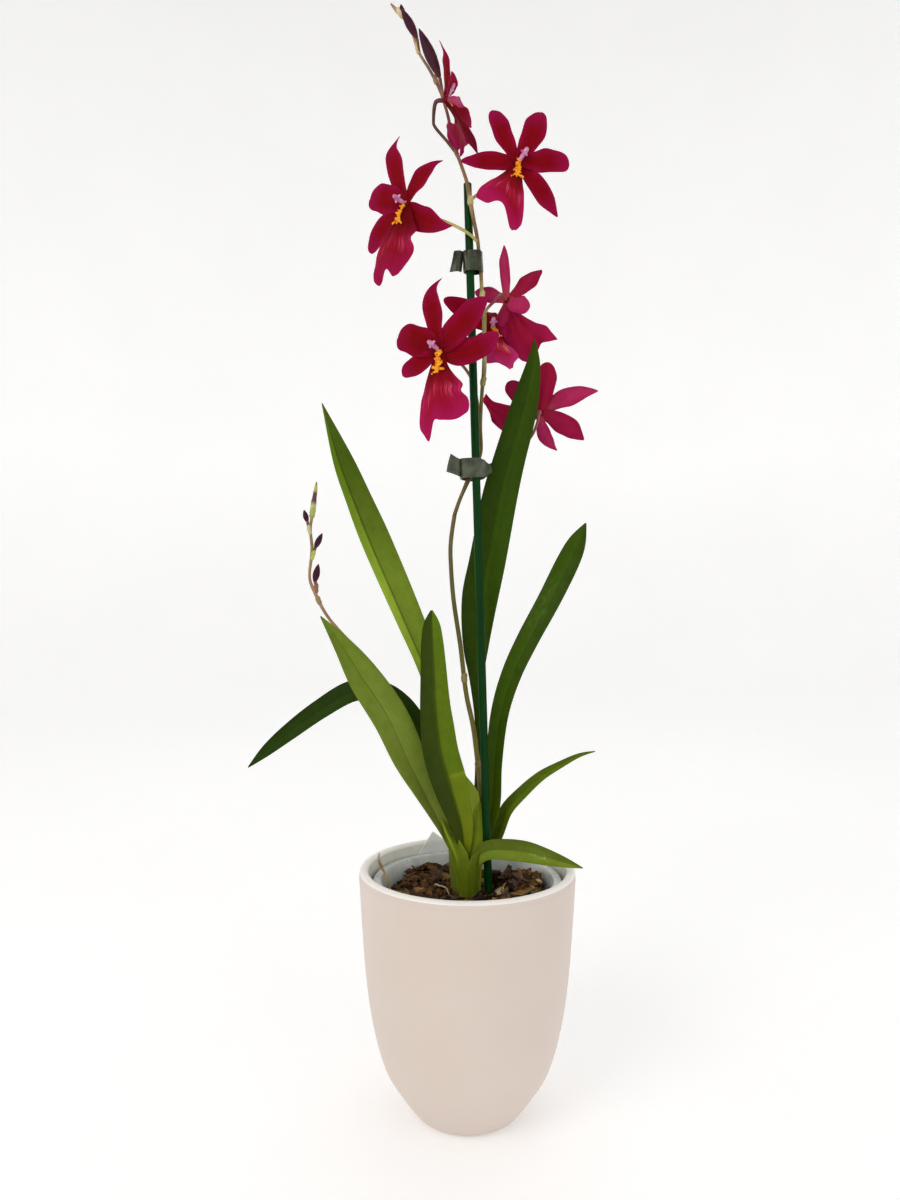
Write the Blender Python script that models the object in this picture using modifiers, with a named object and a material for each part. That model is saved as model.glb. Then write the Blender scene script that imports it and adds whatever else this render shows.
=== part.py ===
"""A cambria orchid in flower, in its nursery pot inside a white ceramic pot.

The origin is the middle of the ceramic pot's foot, on the surface that it stands on, with +Z up
and +X to the right. Sizes are in millimetres until a mesh is made, where MM turns them into metres.
"""

import math
import random

import bmesh
import bpy
from mathutils import Matrix, Vector

MM = 0.001
GAP = 0.3
CROWN_GAP = 0.4
CLIP_GAP = 0.5
SEED = 7

# The ceramic pot: height and outer radius up its side and over its rim, and its wall
POT_SIDE = [
    (0, 28), (2.5, 32.5), (8, 37), (16, 42.5), (28, 49.8), (45, 55.3), (68, 59.8), (96, 62.8), (142, 65.9),
]
POT_RIM = [(146.8, 65.4), (148, 63.4), (147.6, 61.3), (145.8, 60.2)]
POT_WALL = 5.7
POT_FLOOR = 7.0
ROUND_SIDES = 36

# The nursery pot inside it: a thin tapered cup with a flange
NURSERY_TOP = 140.5
NURSERY_BASE = 28.5
NURSERY_RADIUS = 53.2
NURSERY_FLANGE = 57.4
NURSERY_WALL = 1.0

# The bark that fills it
BARK_TOP = 127.0
BARK_CHIPS = 32
BARK_SPREAD = 42.0
CHIP_LENGTH = (10.0, 18.0)
CHIP_WIDTH = (7.0, 12.0)
CHIP_THICKNESS = (3.5, 6.0)
CHIP_TILT = 0.33
CHIP_RISE = 2.2

# The label tucked between the two pots
LABEL_THICKNESS = 0.8
LABEL_AZIMUTH = math.radians(112)
LABEL_WIDTH = 17.0
LABEL_LENGTH = 34.0
LABEL_TURN = math.radians(38)
LABEL_CORNER = 154.3

# The cane that holds the flower spike, from inside the bark to its cut top
STAKE = [(14.7, 3.0, 80.0), (0.3, 3.0, 567.5)]
STAKE_RADIUS = 2.5

LEAF_THICKNESS = 0.9
TEPAL_THICKNESS = 0.8
CLIP_THICKNESS = 0.7

# The sheathed bulb that everything grows from: height, middle X and Y, half widths
CROWN = [
    (114, -2.0, 9.5, 5.0, 5.0),
    (124, -2.0, 9.5, 7.6, 7.0),
    (134, -2.0, 9.5, 8.2, 7.6),
    (146, -1.8, 9.5, 9.4, 7.4),
    (156, -1.6, 9.8, 9.8, 6.2),
    (166, -1.2, 10.2, 8.6, 4.4),
    (174, -1.0, 10.6, 5.4, 2.4),
    (178, -1.0, 10.8, 1.6, 0.8),
]

# Each leaf runs from its root to its tip: X, Y, Z and half width, then the way its face
# looks, and its fold in degrees at the root and at the tip
LEAVES = {
    "leaf_1": (
        [
            (-1.0, 10.5, 143, 2.5), (0.2, 10.5, 160, 4.2), (-0.6, 10.5, 174, 8.0), (-3.0, 10.5, 187, 10.2),
            (-6.0, 11.5, 196, 7.4), (-8.6, 12.5, 206, 4.9), (-16, 16, 240, 6.2), (-24.5, 20, 269, 7.6),
            (-37.4, 26, 300, 9.0), (-58.4, 34, 348, 10.0), (-70.8, 40, 377, 8.8), (-82.0, 46, 404, 6.8),
            (-97.0, 54, 443.8, 0.5),
        ],
        (0.2, -1.0, 0.2), 30, 12,
    ),
    "leaf_2": (
        [
            (1.5, 12.5, 143, 2.5), (5.5, 15.5, 156, 4.2), (8.0, 18.5, 172, 5.2), (9.6, 19.0, 195, 4.4),
            (9.2, 18.0, 232, 3.8), (6.6, 17, 260, 4.6), (6.0, 16, 282, 8.3), (8.4, 15, 311, 11.5),
            (13.4, 14.5, 336, 11.6), (20.6, 14.5, 374, 11.2), (26.6, 14.2, 398, 10.2),
            (32.6, 13.6, 419, 9.4),
            (37.1, 12.6, 436, 8.2), (41.6, 11.4, 458, 4.6), (42.4, 10.8, 474.0, 0.5),
        ],
        (-0.15, -1.0, 0.0), 28, 8,
    ),
    "leaf_3": (
        [
            (2.5, 9.5, 143, 2.5), (8.5, 10.0, 158, 4.0), (14.6, 11.0, 181, 5.0), (17.0, 11.4, 209, 5.2),
            (21.0, 12, 239, 5.9), (28.0, 12.8, 263, 6.5), (38.2, 14, 285, 7.2), (52.6, 16.5, 311, 7.6),
            (65.2, 19, 336, 7.4), (71.2, 21, 349, 5.4), (76.3, 22, 360, 0.6),
        ],
        (-0.35, -1.0, 0.1), 32, 10,
    ),
    "leaf_4": (
        [
            (-4.0, 7.0, 143, 2.0), (-8.0, 3.5, 155, 3.2), (-13, 2, 166, 3.5), (-18.6, 1, 177, 4.8),
            (-27.8, -1, 195.3, 7.4), (-37.8, -3, 215.6, 10.3), (-48.5, -5, 239.6, 11.3),
            (-63.7, -8, 263.6, 9.8),
            (-75.5, -11.5, 283.1, 5.8), (-87.9, -14, 301.1, 0.5),
        ],
        (0.45, -0.9, 0.3), 35, 10,
    ),
    "leaf_5": (
        [
            (-1.0, 6.5, 142, 2.2), (-1.6, 1.6, 155, 3.4), (-5, -1, 173, 4.9), (-11.7, -3, 197, 8.8),
            (-16.6, -5, 219.6, 10.9), (-19, -6, 244, 10), (-20.2, -6, 268, 8.5), (-21.1, -5.5, 286, 5.8),
            (-21.6, -5, 304.6, 0.5),
        ],
        (0.35, -1.0, 0.0), 38, 14,
    ),
    "leaf_6": (
        [
            (-4.3, 9.5, 143, 2.0), (-7.5, 11.5, 164, 3.2), (-13.0, 13.0, 188, 4.0), (-20.5, 14.5, 212, 4.8),
            (-30, 16, 231, 5.7), (-41, 18.5, 244.5, 6.3), (-55, 21, 252, 7.2), (-73, 22.5, 252, 7.7),
            (-93.7, 23, 240.4, 6.9), (-113, 23.5, 226.3, 5.7), (-128.4, 24, 213.8, 3.8),
            (-140, 24, 203.3, 0.5),
        ],
        (0.1, -0.85, 0.5), 30, 10,
    ),
    "leaf_7": (
        [
            (4.0, 12.5, 143, 2.0), (12.5, 15.0, 153, 2.8), (18.4, 15.5, 164, 3.3), (25.0, 14.5, 178.5, 4.3),
            (34.6, 13, 189, 4.5), (46.3, 11, 199.8, 4.0), (58.9, 9, 207.6, 3.0), (69.8, 8, 213.6, 1.9),
            (78.5, 8, 216.1, 0.4),
        ],
        (-0.4, -0.8, 0.5), 30, 12,
    ),
    "leaf_8": (
        [
            (1.0, 5.5, 139, 2.2), (4.5, -0.5, 150, 3.8), (8.6, -4.0, 156, 5.0), (13.6, -6.2, 159, 5.8),
            (22.1, -8.6, 160, 6.3), (34.4, -12, 159.7, 6.3), (46.1, -15, 157.6, 5.1),
            (57.8, -17, 154.8, 3.0),
            (68.1, -19, 152.2, 0.4),
        ],
        (0.0, -1.0, 0.45), 26, 12,
    ),
}

# The flower spikes: X, Y, Z and radius
SPIKE_STEM = [
    (1.0, 12.0, 150, 1.7), (5.5, 13.5, 166, 1.6), (8.2, 14.4, 179, 1.6), (8.6, 13.8, 192, 1.6),
    (6.4, 11.5, 213, 1.6), (3.9, 10.4, 232, 1.55), (-0.5, 9.8, 253, 1.5), (-4.0, 9.4, 282, 1.45),
    (-8.3, 9.2, 311, 1.4), (-10.1, 9.2, 336, 1.35), (-9.8, 9.2, 349, 1.35), (-7.6, 9.3, 364, 1.35),
]
SPIKE_RACHIS = [
    (-7.6, 9.3, 364, 1.3), (-4.5, 9.3, 370, 1.25), (-0.5, 9.3, 376.2, 1.2), (3.6, 9.4, 385, 1.2),
    (6.8, 9.4, 395, 1.2), (8.8, 9, 404, 1.2), (8.4, 8.6, 420, 1.2), (9.4, 7.6, 440, 1.2),
    (10.7, 6, 454, 1.5),
    (10.7, 5, 475, 1.3), (10.6, 4.4, 486, 1.5), (9.3, 4, 499, 1.2), (8.6, 3.4, 512, 1.2),
    (7.6, 2.6, 521, 1.15), (6.4, 0.6, 532, 1.15), (4.0, -1.7, 543, 1.2), (1.9, -2.2, 554, 1.4),
    (0.1, -1.6, 565, 1.2), (-2.4, 0.4, 574, 1.1), (-5.2, 2, 582.6, 1.1), (-7.6, 3.2, 589, 1.2),
    (-11.0, 4.4, 606.5, 1.0), (-13.4, 4.6, 616, 1.0), (-16.6, 4.2, 626, 1.2), (-23, 4, 638, 0.9),
    (-30.3, 4, 650, 0.9),
    (-34, 4, 662, 0.9), (-38.6, 4, 669.5, 0.8), (-42.8, 4, 674.2, 1.3), (-47.0, 4, 679.0, 0.5),
]
SPIKE_BRANCH = [
    (-7.6, 9.3, 364, 1.1), (-6.1, 10.2, 371.6, 1.0), (-3.4, 11.4, 379, 1.0), (-0.6, 12.6, 386.5, 1.0),
    (3.9, 13.4, 392.4, 1.0), (10.9, 14.6, 395.2, 1.0), (16.8, 19.5, 397, 1.0), (28, 23.6, 403, 1.0),
    (38, 23.6, 411, 1.1),
]
SPIKE_YOUNG = [
    (-4.5, 8.0, 148, 1.4), (-9.0, 7.2, 160, 1.3), (-14.6, 6.8, 175, 1.3), (-22.0, 6.6, 196, 1.25),
    (-31.0, 6.2, 220, 1.2), (-40.8, 5.6, 241.5, 1.2), (-48.7, 4.4, 257, 1.15), (-58, 3.6, 267, 1.1),
    (-66.6, 3.2, 278.6, 1.05), (-80.2, 3, 293.4, 1.0), (-87.6, 3, 303, 1.0), (-93.7, 3, 315, 1.1),
    (-97.1, 3, 325, 0.9), (-95.6, 3, 341, 1.0), (-96.6, 3, 354, 0.9), (-95.1, 3, 367, 0.8),
    (-92.7, 3, 383.5, 0.6),
]

# Each bloom: its heart, the way it looks, the points its stalk leaves the rachis by, and its
# tepals and lip as the tip's offset from the heart, width, bow forward, sway sideways, and how
# blunt a tepal is or how wide the lip's end stays
BLOOMS = {
    "bloom_1": {
        "heart": (-12.9, -7, 613.2),
        "facing": (0.85, -0.52, -0.1),
        "stalk": [(-7.6, 3.2, 587.5), (-12.6, 1.4, 593), (-19.4, -0.6, 600), (-20.6, -2.0, 603.6)],
        "tepals": [
            ((-4.6, 1, 37), 9, 4, 0, 0), ((5.3, -20, -3.5), 12, 2, 0, 0.6),
            ((16.2, 18, -0.2), 12, 2, 0, 0.8),
            ((8, -20, -10.5), 8.5, -1, 0, 0.3), ((20, 14, -25.4), 10, 2, 0, 0),
        ],
        "lip": ((7.8, -6, -37), 20, 5, 0, 0.75),
    },
    "bloom_2": {
        "heart": (30.6, -8, 574.6),
        "facing": (0.05, -0.98, 0.12),
        "stalk": [(1.9, -2.2, 554), (5.6, 0.5, 559), (14, 2.5, 565), (24, 2.6, 571)],
        "tepals": [
            ((-14.3, 3, 33.4), 11, 2, -3.5, 0.8), ((13.6, 3, 32.2), 13, 2, 3, 0.7),
            ((31.1, 0, 0.6), 14.5, 2, 0, 0.9),
            ((22.5, -3, -33.9), 12, 2, -2, 0), ((-34.6, -2, 0.8), 11, 2, -1.5, 0.2),
        ],
        "lip": ((-13.5, -16, -44), 29, 6, 1, 0.9),
    },
    "bloom_3": {
        "heart": (-38.3, -8, 548.6),
        "facing": (-0.45, -0.88, 0.0),
        "stalk": [
            (6.6, 1.0, 530.5), (1.6, -1.9, 534), (-4.5, -1.6, 538), (-13, 0.6, 542.8), (-25, 1.4, 547.6),
        ],
        "tepals": [
            ((-3, 4, 43.8), 9.5, 3, -6.7, 0), ((22.7, -8, 23.1), 9.5, 2, -4.5, 0),
            ((-20.8, 9, 11.8), 15.5, 2, 1, 1),
            ((-21.1, 6, -26), 13, 2, 4, 0.6), ((28.7, -10, -17), 12, 2, 7, 0),
        ],
        "lip": ((-9.5, -10, -52.5), 25, 8, 0, 0.7),
    },
    "bloom_4": {
        "heart": (-16.5, -14, 459.4),
        "facing": (-0.28, -0.95, 0.0),
        "stalk": [
            (8.4, 8.6, 420), (7.2, 11.5, 432), (3.8, 11.6, 447), (-2.5, 5.5, 455.6), (-10.5, -1.5, 459),
        ],
        "tepals": [
            ((0.5, 5, 44.8), 11.5, 3, -12, 0.1), ((-26, 6, 10.2), 16.5, 2, 2, 1),
            ((26.7, -4, 30.2), 15.5, 2, 0, 0.5),
            ((-23.3, 5, -12.4), 11, 2, -1, 0.6), ((34.3, -6, 9.5), 13, 1, 13, 0.2),
        ],
        "lip": ((1.0, -11, -52), 30, 9, 0, 0.86),
    },
    "bloom_5": {
        "heart": (16.6, 24, 484.0),
        "facing": (0.15, -0.95, 0.1),
        "stalk": [(10.8, 6.0, 455), (12.2, 13, 462), (14.5, 22, 470), (16.5, 31, 478)],
        "tepals": [
            ((-1.9, 14, 17), 11, 2, 0, 0.2), ((-31, 0, 19.6), 12, 2, 0, 0.4), ((19, 9, 5), 13, 2, 0, 0.4),
            ((-14.5, 0, -19), 11, 2, 0, 0.2), ((13.5, 2, -24), 11, 2, 0, 0.2),
        ],
        "lip": ((4.5, -15, -26), 20, 7, 0, 0.8),
    },
    "bloom_6": {
        "heart": (25.2, 10, 497.8),
        "facing": (0.55, 0.8, -0.2),
        "stalk": [(10.6, 4.4, 487), (13.0, 4.6, 491.5), (16.5, 4.0, 494.8)],
        "tepals": [
            ((-2.6, -2, 34.1), 8, -2, 0, 0.1), ((21, -6, 17.7), 10, -2, -1.5, 0.1),
            ((-20.3, 10, 9.8), 10, -2, 0, 0.4),
            ((13.6, -8, -5.2), 10, -3, -3, 0.6), ((-3.6, 5, -13), 9, 1, 0, 0.3),
        ],
        "lip": ((24, 11, -31), 27, 0, -2, 0.9),
    },
    "bloom_7": {
        "heart": (47.9, 28, 431.4),
        "facing": (0.2, 0.95, 0.15),
        "stalk": [(38, 23.6, 411), (42.5, 22.0, 417), (45.2, 20.4, 424)],
        "tepals": [
            ((4.3, -5, 31.5), 13, 1, 0, 0.8), ((37.6, 3, 14.9), 11.5, 1, 7, 0.1),
            ((26.7, -3, -16.1), 13.5, 1, 1, 0.8),
            ((-21.4, 4, 17.1), 13, 1, 0, 0.9), ((11.2, 2, -23.9), 8.5, 1, -7, 0),
        ],
        "lip": ((-38, 8, 10), 22, 4, 8, 0.5),
    },
}

# The heart's radius, the crest as shares of the lip's length and radii, its height over the lip, the
# column as distances from the heart and radii, and how the stalk meets the heart's back
HEART_RADIUS = 2.6
CREST = [(0.15, 0.8), (0.2, 1.3), (0.25, 1.1), (0.3, 1.2), (0.35, 0.6)]
CREST_LIFT = 2.1
COLUMN = [(3.1, 1.3), (5, 1.5), (7.5, 1.7), (9, 1.0)]
STALK_RADIUS = 0.95
STALK_END = [(7.5, 1.25), (2.95, 1.3)]

# The clips that tie the spike to the cane: the band's outline seen from above with the share of
# its height that each corner keeps, its lowest and highest edge, and its flag's corners
CLIPS = {
    "clip_upper": (
        [
            (-2.2, 3.0, 1), (-1.6, 0.4, 1), (1.6, -0.8, 1), (6.0, -1.0, 1), (9.4, 0.2, 1), (10.4, 3.4, 1),
            (8.8, 6.4, 1), (5.0, 7.4, 1), (1.0, 7.0, 1), (-1.4, 5.6, 1),
        ],
        512.8, 525.2,
        [
            [(-1.9, 2.4, 513.4), (-4.6, 0.6, 513.2), (-7.8, 2.2, 513.0)],
            [(-1.8, 2.4, 518.6), (-4.0, 0.8, 518.8), (-7.0, 2.0, 518.6)],
            [(-1.7, 2.4, 524.6), (-3.4, 1.2, 525.0), (-6.2, 1.8, 524.8)],
        ],
    ),
    "clip_lower": (
        [
            (-4.2, 4.0, 1), (-2.6, 0.6, 1), (2.4, -1.0, 1), (7.4, -1.0, 1), (10.6, 2.0, 0.85),
            (15.4, 9.0, 0.3),
            (10.4, 15.6, 0.8), (6.0, 18.0, 1), (0.2, 17.0, 1), (-3.8, 10.0, 1),
        ],
        385.8, 397.8,
        [
            [(-3.6, 3.0, 386.4), (-6.6, 0.4, 387.4), (-12.6, 2.0, 389.6)],
            [(-3.6, 3.0, 391.6), (-6.4, 0.6, 392.6), (-11.8, 1.8, 394.4)],
            [(-3.6, 3.0, 397.2), (-6.0, 0.8, 398.0), (-10.0, 1.8, 400.8)],
        ],
    ),
}

# Unopened buds: foot, tip and greatest radius
BUDS = {
    "bud_1": ((-17.0, -1.0, 631.0), (-29.6, -1.0, 660.6), 3.6),
    "bud_2": ((-30.8, -0.2, 655.2), (-40.4, -0.2, 673.4), 2.8),
    "bud_3": ((-39.4, 6.0, 671.0), (-41.0, 6.2, 680.4), 1.9),
    "bud_4": ((-98.4, 3, 358.6), (-100.6, 3, 366.4), 1.7),
    "bud_5": ((-93.8, 3, 342.6), (-89.2, 3, 352.0), 1.9),
    "bud_6": ((-94.0, 3, 321.6), (-91.6, 3, 333.0), 2.2),
}

# The short stalks of the two largest buds
BUD_STALKS = [
    [(-14.4, 4.5, 620.5, 0.9), (-15.6, 1.4, 626, 0.9), (-16.8, -0.8, 630.5, 1.1)],
    [(-29.4, 4, 648.5, 0.8), (-30.0, 1.6, 652, 0.8), (-30.6, -0.1, 654.8, 0.9)],
]

# Roots that show above the bark: X, Y, Z and radius
ROOTS = {
    "root_aerial": [
        (-44.5, 9, 121, 1.0), (-48.4, 8, 132, 0.9), (-49.8, 7.5, 139.5, 0.85), (-52.8, 7.5, 144, 0.8),
        (-54.8, 8, 149, 0.75), (-54.5, 8.5, 153.5, 0.5),
    ],
    "root_1": [(22, 24, 122, 0.8), (24, 17, 134, 0.8), (22.5, 6, 137, 0.8), (21, -6, 121, 0.8)],
    "root_2": [(34, 20, 122, 0.8), (35, 13, 134, 0.8), (41, 4, 135, 0.8), (44, -4, 121, 0.8)],
    "root_3": [(-16, 22, 121, 0.7), (-20, 12, 134, 0.7), (-13, 3, 136, 0.7), (-7, -8, 121, 0.7)],
}


def srgb(red, green, blue):
    """The linear colour of an 8-bit screen colour."""
    def linear(value):
        value /= 255
        return value / 12.92 if value <= 0.04045 else ((value + 0.055) / 1.055) ** 2.4

    return (linear(red), linear(green), linear(blue), 1.0)


def finish(name, colour, roughness, transmission=0.0):
    """A Principled material."""
    made = bpy.data.materials.new(name)
    made.use_nodes = True
    shader = made.node_tree.nodes["Principled BSDF"]
    shader.inputs["Base Color"].default_value = colour
    shader.inputs["Roughness"].default_value = roughness
    shader.inputs["Metallic"].default_value = 0.0
    shader.inputs["Transmission Weight"].default_value = transmission
    made.diffuse_color = colour
    return made


def new_collection(name):
    made = bpy.data.collections.new(name)
    bpy.context.scene.collection.children.link(made)
    return made


def new_object(name, mesh, material=None):
    """An object in the part's collection, smooth where its faces meet at a shallow angle."""
    made = bpy.data.objects.new(name, mesh)
    plant.objects.link(made)
    if material:
        mesh.materials.clear()
        mesh.materials.append(material)
    mesh.shade_smooth()
    mesh.set_sharp_from_angle(angle=math.radians(50))
    return made


def smooth_points(points, count):
    """The curve through the points, read at even steps along it. Further columns are carried along."""
    dense = []
    for i in range(len(points) - 1):
        before = points[max(i - 1, 0)]
        start, end = points[i], points[i + 1]
        after = points[min(i + 2, len(points) - 1)]
        steps = 12
        for step in range(steps):
            t = step / steps
            point = []
            for a, b, c, d in zip(before, start, end, after):
                square = 2 * a - 5 * b + 4 * c - d
                cube = 3 * b - a - 3 * c + d
                point.append(0.5 * (2 * b + (c - a) * t + square * t**2 + cube * t**3))
            dense.append(point)
    dense.append(list(points[-1]))
    travel = [0.0]
    for a, b in zip(dense, dense[1:]):
        travel.append(travel[-1] + math.dist(a[:3], b[:3]))
    read = []
    j = 0
    for i in range(count):
        wanted = travel[-1] * i / (count - 1)
        while j < len(travel) - 2 and travel[j + 1] < wanted:
            j += 1
        share = (wanted - travel[j]) / max(travel[j + 1] - travel[j], 1e-9)
        read.append([a + (b - a) * min(share, 1.0) for a, b in zip(dense[j], dense[j + 1])])
    return read


def applied(obj):
    """The object with its modifiers, or its curve, made a plain welded mesh."""
    graph = bpy.context.evaluated_depsgraph_get()
    graph.update()
    mesh = bpy.data.meshes.new_from_object(obj.evaluated_get(graph))
    name = obj.name
    material = obj.data.materials[0] if obj.data.materials else None
    bpy.data.objects.remove(obj)
    form = bmesh.new()
    form.from_mesh(mesh)
    bmesh.ops.remove_doubles(form, verts=form.verts, dist=0.002 * MM)
    bmesh.ops.recalc_face_normals(form, faces=form.faces)
    form.to_mesh(mesh)
    form.free()
    return new_object(name, mesh, material)


def tube(name, points, material=None, count=None, sides=1, more=0.0):
    """A round stem through the points, whose fourth column is its radius."""
    read = smooth_points(points, count or len(points) * 2)
    curve = bpy.data.curves.new(name, "CURVE")
    curve.dimensions = "3D"
    curve.bevel_depth = MM
    curve.bevel_resolution = sides
    curve.use_fill_caps = True
    spline = curve.splines.new("POLY")
    spline.points.add(len(read) - 1)
    for point, (x, y, z, radius) in zip(spline.points, read):
        point.co = (x * MM, y * MM, z * MM, 1.0)
        point.radius = radius + more
    made = bpy.data.objects.new(name, curve)
    plant.objects.link(made)
    if material:
        curve.materials.append(material)
    return applied(made)


def sheet(name, rows, thickness, material=None):
    """A blade: a grid of points in rows, split into triangles and given its thickness."""
    form = bmesh.new()
    grid = [[form.verts.new(Vector(point) * MM) for point in row] for row in rows]
    for lower, upper in zip(grid, grid[1:]):
        for j in range(len(lower) - 1):
            form.faces.new((lower[j], lower[j + 1], upper[j + 1], upper[j]))
    bmesh.ops.triangulate(form, faces=form.faces, quad_method="FIXED")
    mesh = bpy.data.meshes.new(name)
    form.to_mesh(mesh)
    form.free()
    made = new_object(name, mesh, material)
    solid = made.modifiers.new("thickness", "SOLIDIFY")
    solid.thickness = thickness * MM
    solid.offset = 0.0
    return applied(made)


def across(tangent, face):
    """The sideways and outward directions of a blade that runs along tangent and looks along face."""
    side = tangent.cross(face).normalized()
    return side, side.cross(tangent).normalized()


def leaf(name, points, face, root_fold, tip_fold, rows=14):
    """A strap leaf, folded along its midrib so that both halves rise towards its face."""
    read = smooth_points(points, rows)
    centres = [Vector(point[:3]) for point in read]
    lines = []
    for i, (centre, point) in enumerate(zip(centres, read)):
        tangent = (centres[min(i + 1, rows - 1)] - centres[max(i - 1, 0)]).normalized()
        side, out = across(tangent, Vector(face))
        reach = i / (rows - 1)
        fold = math.tan(math.radians(root_fold + (tip_fold - root_fold) * min(reach * 1.6, 1)))
        half = max(point[3], 0.4)
        lines.append([
            centre + side * half * v + out * half * fold * abs(v) for v in (-1, -0.5, 0, 0.5, 1)
        ])
    return sheet(name, lines, LEAF_THICKNESS, green)


def bent_midrib(heart, tip, bow, sway, face, t):
    """A point and the direction on a tepal's midrib, a share t of the way to its tip."""
    tip = Vector(tip)
    side, out = across(tip.normalized(), face)
    control = tip * 0.5 + out * bow + side * sway
    point = heart + control * 2 * t * (1 - t) + tip * t**2
    tangent = control * 2 * (1 - 2 * t) + tip * 2 * t
    return point, tangent.normalized()


# Widths along a tepal with a pointed tip and along one with a blunt tip, and along a lip: narrow
# claw, side lobes, waist and broad apron. Each is a share of the length and of the greatest width
TEPAL_POINTED = [(0, 0.34), (0.27, 0.68), (0.55, 1.0), (0.78, 0.84), (0.93, 0.42), (1.0, 0.08)]
TEPAL_BLUNT = [(0, 0.3), (0.27, 0.58), (0.55, 0.9), (0.78, 1.0), (0.93, 0.78), (1.0, 0.3)]
LIP_OUTLINE = [
    (0, 0.2), (0.13, 0.34), (0.28, 0.62), (0.4, 0.66), (0.56, 0.9), (0.7, 1.0), (0.86, 0.97), (1.0, 0.8),
]


def tepal(name, heart, face, tip, width, bow, sway, blunt):
    lines = []
    for (t, pointed_share), (_, blunt_share) in zip(TEPAL_POINTED, TEPAL_BLUNT):
        centre, tangent = bent_midrib(heart, tip, bow, sway, face, t)
        side, out = across(tangent, face)
        half = 0.5 * width * (pointed_share + (blunt_share - pointed_share) * blunt)
        lines.append([centre + side * half * v + out * half * 0.16 * v * v for v in (-1, -0.4, 0.4, 1)])
    return sheet(name, lines, TEPAL_THICKNESS)


def lip(name, heart, face, tip, width, bow, sway, end):
    """The lip: a fiddle-shaped blade with a notched, lightly frilled end."""
    lines = []
    for reach, share in LIP_OUTLINE:
        line = []
        for v in (-1, -0.5, 0, 0.5, 1):
            t = reach - reach**4 * (0.12 * math.exp(-((v / 0.35) ** 2)) + 0.1 * v**4)
            centre, tangent = bent_midrib(heart, tip, bow, sway, face, t)
            side, out = across(tangent, face)
            half = 0.5 * width * share * (1 - (1 - end) * reach**5)
            drop = -0.3 * half * v * v + 0.8 * v * v * math.sin(9 * reach) * reach
            line.append(centre + side * half * v + out * drop)
        lines.append(line)
    return sheet(name, lines, TEPAL_THICKNESS)


def fuse(name, pieces, material):
    """One solid from overlapping pieces."""
    first, rest = pieces[0], pieces[1:]
    joined = new_collection(name + "_joined")
    for piece in rest:
        plant.objects.unlink(piece)
        joined.objects.link(piece)
    union = first.modifiers.new("union", "BOOLEAN")
    union.operation = "UNION"
    union.operand_type = "COLLECTION"
    union.collection = joined
    union.solver = "EXACT"
    fused = applied(first)
    for piece in rest:
        bpy.data.objects.remove(piece)
    bpy.data.collections.remove(joined)
    fused.name = name
    fused.data.materials.clear()
    fused.data.materials.append(material)
    return fused


def carve(obj, cutter):
    """Cuts the cutter's solid out of the object."""
    cut = obj.modifiers.new("cut", "BOOLEAN")
    cut.operation = "DIFFERENCE"
    cut.object = cutter
    cut.solver = "EXACT"
    return applied(obj)


def as_cutter(obj):
    plant.objects.unlink(obj)
    cutters.objects.link(obj)
    obj.hide_render = True
    obj.display_type = "WIRE"
    return obj


def turned(name, profile, material):
    """A solid turned from a profile of heights and radii, which runs down its outer side."""
    form = bmesh.new()
    points = [form.verts.new((radius * MM, 0, z * MM)) for z, radius in profile]
    for a, b in zip(points, points[1:]):
        form.edges.new((a, b))
    mesh = bpy.data.meshes.new(name)
    form.to_mesh(mesh)
    form.free()
    made = new_object(name, mesh, material)
    screw = made.modifiers.new("turn", "SCREW")
    screw.steps = ROUND_SIDES
    screw.render_steps = ROUND_SIDES
    screw.use_merge_vertices = True
    screw.merge_threshold = 0.00005
    return applied(made)


def pot_inner_radius(height):
    """The radius inside the ceramic pot at a height."""
    inside = [(z, radius - POT_WALL) for z, radius in POT_SIDE]
    for (z0, r0), (z1, r1) in zip(inside, inside[1:]):
        if z0 <= height <= z1:
            return r0 + (r1 - r0) * (height - z0) / (z1 - z0)
    return inside[-1][1]


def ceramic_pot():
    outer = [(z, radius) for z, radius in reversed(POT_SIDE)]
    inner = [(z, pot_inner_radius(z)) for z in (16, 28, 45, 68, 96)]
    profile = list(reversed(POT_RIM)) + outer + [(0, 0)]
    # The profile starts on the axis inside, climbs the inner wall and goes over the rim
    return turned("pot", [(POT_FLOOR, 0), (POT_FLOOR + 1, 28)] + inner + profile, white)


def nursery_radius(height):
    """The outer radius of the nursery pot's wall at a height."""
    base = pot_inner_radius(NURSERY_BASE) - GAP
    share = (height - NURSERY_BASE) / (NURSERY_TOP - 1 - NURSERY_BASE)
    return base + (NURSERY_RADIUS - base) * share


def nursery_pot():
    top = NURSERY_TOP
    base = NURSERY_BASE
    wall = NURSERY_WALL
    profile = [
        (base + wall, 0), (base + wall, nursery_radius(base) - wall), (top, NURSERY_RADIUS - wall),
        (top, NURSERY_FLANGE), (top - 1, NURSERY_FLANGE), (top - 1, NURSERY_RADIUS),
        (base, nursery_radius(base)), (base, 0),
    ]
    return turned("nursery_pot", profile, clear_plastic)


def chip(name, place, size, turn, rng):
    """One rough piece of bark: a box with its corners pulled about."""
    form = bmesh.new()
    bmesh.ops.create_cube(form, size=1.0)
    for corner in form.verts:
        pull = Vector((rng.uniform(0.6, 1.1), rng.uniform(0.6, 1.1), rng.uniform(0.7, 1.1)))
        corner.co = Vector((corner.co.x * pull.x, corner.co.y * pull.y, corner.co.z * pull.z))
    bmesh.ops.triangulate(form, faces=form.faces)
    scale = Matrix.Diagonal(Vector(size) * MM).to_4x4()
    form.transform(Matrix.Translation(Vector(place) * MM) @ turn.to_4x4() @ scale)
    mesh = bpy.data.meshes.new(name)
    form.to_mesh(mesh)
    form.free()
    return new_object(name, mesh)


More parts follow.
